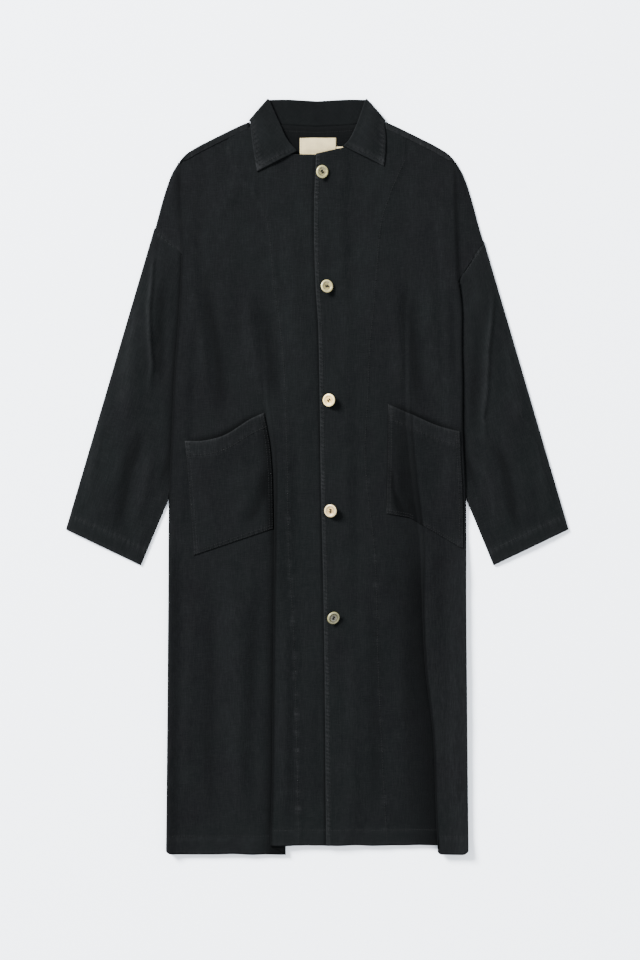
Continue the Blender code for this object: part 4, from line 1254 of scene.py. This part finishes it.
def build_collar(finish, thread):
    surface = Surface()
    places = [0.0]
    for k, steps in enumerate(COLLAR_STEPS):
        places += [k + (step + 1) / steps for step in range(steps)]
    half = {}
    for side in SIGN:
        half[side] = np.array([collar_section(side, place) for place in places])
        half[side][:, :, 2] += front_height(side, half[side][:, :, 4], half[side][:, :, 5])
    sections = np.concatenate([half["right"], half["left"][-2::-1]])
    order = np.array(places + places[-2::-1])
    x, y, z, to_edge = (sections[:, :, k] for k in range(4))
    count = np.arange(x.shape[1])[None, :]
    fall = count >= STAND_POINTS + BEND_POINTS
    before = order[:, None] <= COLLAR_SEEN
    over = before & fall
    run = np.cumsum(np.concatenate([[0.0], np.hypot(np.diff(x[:, -1]), np.diff(y[:, -1]))]))[:, None]
    to_end = np.minimum(np.hypot(x - x[0], y - y[0]), np.hypot(x - x[-1], y - y[-1]))
    edge_ripple = pucker("collar_edge", to_edge - COLLAR_ROW, run) * over
    end_ripple = pucker("collar_end", to_end - COLLAR_ROW, to_edge) * over
    z = z + 0.6 * edge_ripple + 0.5 * end_ripple
    wear_and_highlight = 0.4 * edge_ripple + 0.4 * end_ripple
    wear_and_highlight = wear_and_highlight + (line_tone("collar_edge", to_edge) + line_tone("collar_edge", to_end)) * over
    wear_and_highlight = wear_and_highlight + line_tone("collar_tip", np.hypot(to_end, to_edge)) * over
    # Pale wear at the roll line, which also paints light over the shade of the roll
    wear_and_highlight = wear_and_highlight + line_tone("collar_roll", count - ROLL_POINT) * before
    grain = (0.7 * x + 0.7 * y - 350.0, 0.7 * y - 0.7 * x)
    # The stand seen inside the neck gets painted shade
    ids = surface.add(x, y, z, wear_and_highlight, grain, STAND_SHADE * ~fall * ~before)
    surface.join(ids.T[::-1])

    # Stitches inside the outer edge and inside the two front ends
    last = sum(COLLAR_STEPS[:3])
    column = int(np.argmin(np.abs(to_edge[0] - COLLAR_ROW) + 1e6 * ~fall[0]))
    parts = [(slice(2, last), column), (slice(len(order) - last, len(order) - 2), column)]
    across = slice(STAND_POINTS + BEND_POINTS + 4, column + 1)
    parts += [(4, across), (len(order) - 5, across)]
    rows = [row_on((x, y, z), part) for part in parts]
    return sewn_cloth("collar", surface, rows, finish, thread)


def build_pocket(side, finish, thread):
    """A patch on the front, made from the front's own sections moved out by one layer."""
    surface = Surface()
    if side == "right":
        zone = np.full(POCKET_COLUMNS, LOW)
        place = np.linspace(0.0, 1.0, POCKET_COLUMNS)
    else:
        low = np.linspace(0.0, 1.0, POCKET_COUNTS[0], endpoint=False)
        zone, place = zones(low, np.linspace(0.0, 1.0, POCKET_COUNTS[1] + 1)[1:])

    def limits(y):
        end = 0.0 * y if side == "right" else curve(SIDE[side], y) - POCKET_INSET
        return curve(POCKET_SIDE[side], y), end

    top = np.zeros(len(zone))
    bottom = np.zeros(len(zone))
    for _ in range(POCKET_ROUNDS):
        top = curve(POCKET_MOUTH[side], front_points(side, top, zone, place, limits)[0])
        bottom = read(POCKET_BOTTOM[side], front_points(side, bottom, zone, place, limits)[0])
    y = mix(top, bottom, np.linspace(0.0, 1.0, POCKET_ROWS)[:, None])
    x, lift, tilt = front_points(side, y, zone, place, limits)
    seams = np.where(zone == BEND, 0.0, seam_relief(side, x, y)[0])
    from_mouth = top - y
    from_bottom = y - bottom
    from_left = x - x[:, :1]
    from_right = x[:, -1:] - x
    aside = np.minimum(from_left, from_right)
    edge = np.minimum(aside, from_bottom)
    out = mix(SEWN_STEP, CLOTH + SEAM, smooth(edge / SEWN_SLOPE))
    share = from_left / (from_left + from_right)
    gape = GAPE[side] * np.sin(math.pi * share) ** 1.2 * (1.0 - smooth(from_mouth / GAPE_DEPTH)) ** 1.5
    band = 0.5 * smooth((MOUTH_BAND - from_mouth) / BAND_SLOPE)
    ripple = pucker("pocket", edge - 4.0, np.where(aside < from_bottom, y, x))
    mouth_ripple = pucker("mouth", from_mouth - MOUTH_BAND, x)
    relief_z = gape + band + 0.7 * ripple + 0.4 * mouth_ripple
    z = front_height(side, x, y) + lift + seams + out * np.cos(tilt) + relief_z
    x = x - out * np.sin(tilt)
    patchy = 0.55 + 0.45 * uneven(x, y, *WAVES["patches"])
    corner = bell(np.hypot(aside, np.minimum(from_bottom, from_mouth)), CORNER_REACH)
    wear_and_highlight = 0.33 * ripple * patchy + 0.35 * corner * (0.3 + 0.7 * ripple) + 0.35 * mouth_ripple
    wear_and_highlight = wear_and_highlight + line_tone("mouth", from_mouth) + 0.10 * smooth((MOUTH_BAND - from_mouth) / 4.0)
    # Painted shade in crease hollows, on the low side of the pleat, by the fold along the right edge of the
    # wearer's right pocket, and along the left sewn edge where the rim would catch the light
    creased = crease_height(CREASES, x, y)
    painted_shade = np.maximum(-creased, 0.0) / HOLLOW + POCKET_SHADE[side] * pleat_shade(side, x, y, zone)
    if side == "right":
        painted_shade = painted_shade + line_tone("pocket_fold", from_right) * smooth(from_mouth / 20.0)
    painted_shade = painted_shade + line_tone("sewn_edge", from_left) * (1.0 - corner)
    surface.join(surface.add(x, y, z, wear_and_highlight, None, painted_shade))

    # Stitches: two rows inside the sewn edges and one under the mouth band
    grid = (x, y, z)
    rows = []
    flat = np.flatnonzero(zone != BEND)
    for distance in POCKET_SEWN:
        for away in (from_left, from_right):
            path = [crossing(away[i, flat], distance, [values[i, flat] for values in grid])
                    for i in range(POCKET_ROWS)]
            rows.append(row_through(path, distance / 10.0))
    down_rows = [(from_bottom, distance) for distance in POCKET_SEWN] + [(from_mouth, MOUTH_BAND)]
    for away, distance in down_rows:
        for part in (LOW, TOP):
            path = [crossing(away[:, j], distance, [values[:, j] for values in grid])
                    for j in np.flatnonzero(zone == part)]
            if path:
                rows.append(row_through(path))
    return sewn_cloth("pocket_" + side, surface, rows, finish, thread)


def build_label(name, box, finish, thread):
    """A woven tape sewn inside the back of the neck."""
    surface = Surface()
    left, right, bottom, top = box
    count = max(int((right - left) / LABEL_PITCH), 6)
    x, y = np.meshgrid(np.linspace(left, right, count), np.linspace(top, bottom, LABEL_ROWS))
    share_x = (x - left) / (right - left)
    share_y = (y - bottom) / (top - bottom)
    bow = LABEL_BOW * np.sin(math.pi * share_x) * np.sin(math.pi * share_y)
    bow = bow + 0.25 * uneven(x, y, *WAVES["tape"])
    above = smooth((y - bottom) / LABEL_LIFT)
    z = back_height(x, y) + (CLOTH + LABEL_CLOTH) / 2 + (SEAM + np.maximum(bow, 0.0)) * above
    wave_y = y + 0.35 * uneven(x, 0 * x, *WAVES["tape_edge"]) * (share_y > 0.5)
    surface.join(surface.add(x, wave_y, z))
    parts = [(slice(None), 1), (slice(None), count - 2)]
    if right - left > SEWN_TOP:
        parts.append(1)
    rise = (LABEL_CLOTH - CLOTH) / 2 + STITCH_RISE
    rows = [row_on((x, y, z), part, rise) for part in parts]
    return sewn_cloth(name, surface, rows, finish, thread, LABEL_CLOTH)


def hole_centers():
    return [(HOLE_REACH * math.cos(a), HOLE_REACH * math.sin(a)) for a in HOLE_ANGLES]


def circle(mesh, center, radius, count):
    """Adds a level ring of points round a center."""
    x, y, z = center
    angles = np.linspace(0.0, 2 * math.pi, count, endpoint=False)
    return [mesh.verts.new((x + radius * math.cos(a), y + radius * math.sin(a), z)) for a in angles]


def wall(mesh, upper, lower):
    count = len(upper)
    for k in range(count):
        m = (k + 1) % count
        mesh.faces.new((upper[k], lower[k], lower[m], upper[m]))


def edges_round(mesh, verts):
    return [mesh.edges.get((verts[k - 1], verts[k])) for k in range(len(verts))]


def finished(mesh, name, sharp=None):
    """Ends a mesh that was made in millimetres, and gives it smooth shading with these sharp edges."""
    bmesh.ops.recalc_face_normals(mesh, faces=mesh.faces[:])
    bmesh.ops.scale(mesh, vec=(MM, MM, MM), verts=mesh.verts[:])
    data = bpy.data.meshes.new(name)
    mesh.to_mesh(data)
    mesh.free()
    data.shade_smooth()
    if sharp is not None:
        data.set_sharp_from_angle(angle=sharp)
    return data


def cloth_top(x, y):
    """Upper face of the front that carries the buttons."""
    x = np.array(x, float)
    y = np.array(y, float)
    return front_height("left", x, y) + seam_relief("left", x, y)[0] + CLOTH / 2


def build_button(number, finish, thread):
    """A turned shell button with a raised rim and four holes, which leans on the thread that holds it."""
    name = "button_%d" % number
    y, x, tilt, way = BUTTONS[number - 1]
    radius = BUTTON_DIAMETER / 2
    mesh = bmesh.new()
    rings = [circle(mesh, (0, 0, BUTTON_THICKNESS * height), radius * share, BUTTON_SIDES)
             for share, height in BUTTON_SECTION]
    for upper, lower in zip(rings, rings[1:]):
        wall(mesh, upper, lower)
    level = BUTTON_THICKNESS * BUTTON_SECTION[0][1]
    upper_edges = edges_round(mesh, rings[0])
    lower_edges = edges_round(mesh, rings[-1])
    for hole_x, hole_y in hole_centers():
        upper = circle(mesh, (hole_x, hole_y, level), HOLE_RADIUS, HOLE_SIDES)
        lower = circle(mesh, (hole_x, hole_y, 0.0), HOLE_RADIUS, HOLE_SIDES)
        wall(mesh, lower, upper)
        upper_edges += edges_round(mesh, upper)
        lower_edges += edges_round(mesh, lower)
    bmesh.ops.triangle_fill(mesh, use_beauty=True, edges=upper_edges)
    bmesh.ops.triangle_fill(mesh, use_beauty=True, edges=lower_edges)
    lean = Matrix.Rotation(math.radians(way), 3, "Z") @ Matrix.Rotation(-math.radians(tilt), 3, "Y")
    lean = lean @ Matrix.Rotation(BUTTON_SPIN * number, 3, "Z")
    lowest = min((lean @ vert.co).z for vert in mesh.verts)
    around = np.linspace(0.0, 2 * math.pi, 13)
    seat = np.max(cloth_top(x + radius * np.cos(around), y + radius * np.sin(around))) + BUTTON_GAP - lowest
    made = put(name + "_shell", finished(mesh, name + "_shell", math.radians(BUTTON_SHARP)), finish)
    made.matrix_world = Matrix.Translation(Vector((x, y, seat)) * MM) @ lean.to_4x4()
    return made, build_thread(name + "_thread", Vector((x, y, seat)), lean, level, thread)


def build_thread(name, seat, lean, level, finish):
    """Strands that come up through one hole and go down through another, and the wound thread below."""
    mesh = bmesh.new()
    holes = hole_centers()
    for first, second in ((0, 1), (2, 3)):
        start = Vector((*holes[first], 0.0))
        end = Vector((*holes[second], 0.0))
        aside = Vector((0.0, 0.0, 1.0)).cross(end - start).normalized()
        for shift in STRAND_SHIFTS:
            rings = []
            for t in np.linspace(0.0, 1.0, 13):
                middle = start.lerp(end, t) + aside * shift
                middle.z = level - STRAND_DEPTH + STRAND_ARCH * math.sin(math.pi * t) ** 0.45
                rings.append([])
                for a in np.linspace(0.0, 2 * math.pi, 6, endpoint=False):
                    out = aside * math.cos(a) + Vector((0.0, 0.0, math.sin(a)))
                    rings[-1].append(mesh.verts.new(seat + lean @ (middle + out * STRAND_RADIUS)))
            for upper, lower in zip(rings, rings[1:]):
                wall(mesh, upper, lower)
            mesh.faces.new(rings[0])
            mesh.faces.new(rings[-1][::-1])
    bottom = float(cloth_top(seat.x, seat.y)) - SHANK_SINK
    rings = []
    for share in np.linspace(0.0, 1.0, 4 * SHANK_TURNS + 1):
        bulge = 0.12 * math.sin(2 * math.pi * SHANK_TURNS * share) + 0.9 * abs(share - 0.5) ** 2
        height = mix(bottom, seat.z + SHANK_RISE, share)
        rings.append(circle(mesh, (seat.x, seat.y, height), SHANK_RADIUS + bulge, 12))
    for lower, upper in zip(rings, rings[1:]):
        wall(mesh, upper, lower)
    mesh.faces.new(rings[0][::-1])
    mesh.faces.new(rings[-1])
    return put(name, finished(mesh, name), finish)


# Materials

class Nodes:
    """Short ways to add and link the nodes of one material."""

    def __init__(self, name):
        self.material = bpy.data.materials.new(name)
        self.material.use_nodes = True
        self.tree = self.material.node_tree
        self.shader = self.tree.nodes["Principled BSDF"]

    def add(self, kind, settings=None, inputs=None):
        node = self.tree.nodes.new(kind)
        for key, value in (settings or {}).items():
            setattr(node, key, value)
        for key, value in (inputs or {}).items():
            self.feed(node.inputs[key], value)
        return node

    def feed(self, socket, value):
        if isinstance(value, bpy.types.NodeSocket):
            self.tree.links.new(value, socket)
        else:
            socket.default_value = value

    def math(self, operation, a, b=0.0):
        return self.add("ShaderNodeMath", {"operation": operation}, {0: a, 1: b}).outputs[0]

    def times(self, a, b):
        return self.math("MULTIPLY", a, b)

    def plus(self, a, b):
        return self.math("ADD", a, b)

    def place(self):
        return self.add("ShaderNodeTexCoord").outputs["Object"]

    def attribute(self, name, output):
        return self.add("ShaderNodeAttribute", {"attribute_name": name}).outputs[output]

    def wave(self, vector, direction, scale, distortion, detail=1.0):
        inputs = {"Vector": vector, "Scale": scale, "Distortion": distortion, "Detail": detail}
        return self.add("ShaderNodeTexWave", {"bands_direction": direction}, inputs).outputs["Fac"]

    def ramp(self, value, low, high):
        """Value moved from the range low to high into 0 to 1."""
        node = self.add("ShaderNodeMapRange", None, {"Value": value, "From Min": low, "From Max": high})
        return node.outputs["Result"]

    def noise(self, vector, scale, detail=2.0, roughness=0.5):
        node = self.add("ShaderNodeTexNoise", None,
                        {"Vector": vector, "Scale": scale, "Detail": detail, "Roughness": roughness})
        return node.outputs["Fac"]

    def stretched(self, vector, scale):
        node = self.add("ShaderNodeVectorMath", {"operation": "MULTIPLY"}, {0: vector, 1: scale})
        return node.outputs[0]

    def blend(self, share, first, second):
        node = self.add("ShaderNodeMix", {"data_type": "RGBA"})
        self.feed(node.inputs["Factor"], share)
        self.feed(node.inputs["A"], first)
        self.feed(node.inputs["B"], second)
        return node.outputs["Result"]

    def surface(self, color, roughness, bump=None, strength=0.5, distance=0.0003):
        self.feed(self.shader.inputs["Base Color"], color)
        self.feed(self.shader.inputs["Roughness"], roughness)
        if bump is not None:
            inputs = {"Strength": strength, "Distance": distance, "Height": bump}
            node = self.add("ShaderNodeBump", None, inputs)
            self.feed(self.shader.inputs["Normal"], node.outputs["Normal"])

    def more(self, values):
        for key, value in values.items():
            self.shader.inputs[key].default_value = value


def linen_material():
    """Washed black linen: mottled dye, uneven threads, weave, pale worn sewn lines, painted highlights on
    crests, and painted shade in hollows, under edges and inside the neck.
    """
    made = Nodes("linen")
    grain = made.attribute("grain", "Vector")
    wear_and_highlight = made.attribute("wear_and_highlight", "Fac")
    painted_shade = made.attribute("painted_shade", "Fac")
    patches = made.noise(grain, 14.0, 3.0, 0.6)
    clouds = made.noise(made.stretched(grain, (1.0, 0.45, 1.0)), 38.0, 4.0, 0.65)
    warp = made.noise(made.stretched(grain, (1.0, 0.09, 1.0)), 620.0, 2.0, 0.6)
    weft = made.noise(made.stretched(grain, (0.16, 1.0, 1.0)), 600.0, 2.0, 0.6)
    speck = made.noise(grain, 900.0, 2.0, 0.7)
    aside = made.math("ABSOLUTE", made.add("ShaderNodeSeparateXYZ", None, {0: grain}).outputs[0])
    drift = made.times(made.math("SUBTRACT", patches, 0.5), 3.6)
    outer = made.plus(made.ramp(aside, 0.0, 0.26), drift)
    color = made.blend(made.ramp(outer, -0.4, 1.5), COOL_BLACK, WARM_BLACK)
    threads = made.plus(made.ramp(warp, 0.42, 0.78), made.ramp(weft, 0.46, 0.80))
    color = made.blend(made.times(threads, 0.30), color, PALE_THREAD)
    color = made.blend(made.times(made.ramp(clouds, 0.45, 0.8), 0.30), color, DUSTY)
    # Pale wear, and the painted highlights that share its attribute
    paled = made.times(wear_and_highlight, made.ramp(made.plus(speck, warp), 0.7, 1.25))
    color = made.blend(paled, color, PALE_WEAR_AND_HIGHLIGHT)
    # Painted shade in hollows, under edges and inside the neck
    color = made.blend(made.times(painted_shade, 0.85), color, PAINTED_SHADE_TONE)
    weave = made.math("MAXIMUM", made.wave(grain, "X", 360.0, 1.5), made.wave(grain, "Y", 330.0, 1.5))
    bump = made.plus(made.times(weave, 0.35), made.plus(warp, weft))
    made.surface(color, 0.88, bump, 0.55, 0.0006)
    made.more({"Specular IOR Level": 0.032, "Sheen Weight": 0.006, "Sheen Roughness": 0.45,
               "Sheen Tint": (0.55, 0.58, 0.62, 1.0)})
    return made.material


def thread_material(name, tones, low, roughness, gloss):
    made = Nodes(name)
    twist = made.noise(made.place(), 1400.0, 2.0, 0.6)
    made.surface(made.blend(made.ramp(twist, low, 0.7), *tones), roughness, twist, 0.4, 0.0001)
    made.more({"Specular IOR Level": gloss})
    return made.material


def tape_material():
    """Cream woven cotton tape, blank and a little cloudy."""
    made = Nodes("tape")
    grain = made.attribute("grain", "Vector")
    cloudy = made.noise(grain, 90.0, 3.0, 0.6)
    ribs = made.wave(grain, "Y", 300.0, 0.8)
    picks = made.noise(made.stretched(grain, (0.1, 1.0, 1.0)), 900.0, 2.0, 0.6)
    color = made.blend(made.ramp(cloudy, 0.3, 0.75), *TAPE_TONES)
    color = made.blend(made.times(made.ramp(picks, 0.45, 0.8), 0.3), color, TAPE_RIB)
    made.surface(color, 0.82, made.plus(ribs, picks), 0.4, 0.0003)
    return made.material


def button_material(number):
    """Polished shell with wavy growth lines, cloudy patches and a paler rim."""
    light, dark, rim = BUTTON_TONES[number - 1]
    made = Nodes("button_%d" % number)
    spot = made.place()
    moved = made.add("ShaderNodeVectorMath", {"operation": "ADD"}, {0: spot, 1: (0.1 * number, 0.0, 0.0)})
    moved = moved.outputs[0]
    cloudy = made.noise(moved, 170.0, 4.0, 0.6)
    lines = made.wave(moved, "DIAGONAL", 95.0, 6.0, 3.0)
    share = made.plus(made.times(cloudy, 0.8), made.times(lines, 0.3))
    color = made.blend(made.ramp(share, 0.35, 0.85), light, dark)
    level = made.stretched(spot, (1.0, 1.0, 0.0))
    reach = made.add("ShaderNodeVectorMath", {"operation": "LENGTH"}, {0: level}).outputs["Value"]
    outer = made.ramp(made.plus(reach, made.times(cloudy, 0.002)), 0.0070, 0.0105)
    color = made.blend(outer, color, rim)
    made.surface(color, made.plus(made.times(cloudy, 0.2), 0.24), lines, 0.12, 0.0001)
    made.more({"Coat Weight": 0.15, "Coat Roughness": 0.25})
    return made.material


def floor_material():
    made = Nodes("floor")
    made.surface(made.blend(made.noise(made.place(), 220.0, 3.0, 0.6), *FLOOR_TONES), 0.9)
    return made.material


# Stage

def build_stage():
    bpy.ops.mesh.primitive_plane_add(size=FLOOR_SIZE, location=(0.0, 0.0, -FLOOR_DEPTH))
    floor = bpy.context.object
    floor.name = "floor"
    floor.data.materials.append(floor_material())
    for name, (location, size, power) in LIGHTS.items():
        lamp = bpy.data.lights.new(name, "AREA")
        lamp.shape = "DISK"
        lamp.size = size
        lamp.energy = power
        made = bpy.data.objects.new(name, lamp)
        bpy.context.scene.collection.objects.link(made)
        made.location = location
        made.rotation_mode = "QUATERNION"
        made.rotation_quaternion = (-made.location).to_track_quat("-Z", "Y")
    world = bpy.data.worlds.new("studio")
    world.use_nodes = True
    sky = world.node_tree.nodes["Background"]
    sky.inputs["Color"].default_value = SKY_TONE
    sky.inputs["Strength"].default_value = SKY_STRENGTH
    bpy.context.scene.world = world


def build_camera():
    camera = bpy.data.cameras.new("camera")
    camera.lens = CAMERA_LENS
    camera.sensor_width = CAMERA_SENSOR
    camera.dof.use_dof = False
    made = bpy.data.objects.new("camera", camera)
    bpy.context.scene.collection.objects.link(made)
    made.location = CAMERA_PLACE
    bpy.context.scene.camera = made


def dress(node, slot_name, made, sewn):
    """Puts a piece in for its solid, and lets it and its stitches move with the coat."""
    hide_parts(node)
    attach(made, "root")
    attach(sewn, "root")


def main():
    linen = linen_material()
    thread = thread_material("thread", THREAD_TONES, 0.35, 0.85, 0.1)
    tape = tape_material()
    tape_thread = thread_material("tape_thread", TAPE_THREAD_TONES, 0.3, 0.8, 0.5)
    build_stage()
    build_camera()
    dress("back", "linen", *build_back(linen, thread))
    for side in SIGN:
        dress("front_" + side, "linen", *build_front(side, linen, thread))
        dress("sleeve_" + side, "linen", *build_sleeve(side, linen, thread))
        dress("pocket_" + side, "linen", *build_pocket(side, linen, thread))
    dress("collar", "linen", *build_collar(linen, thread))
    for name, box in (("label", LABEL_BOX), ("label_tab", TAB_BOX)):
        dress(name, "tape", *build_label(name, box, tape, tape_thread))
    for number in range(1, len(BUTTONS) + 1):
        dress("button_%d" % number, "button", *build_button(number, button_material(number), thread))


main()
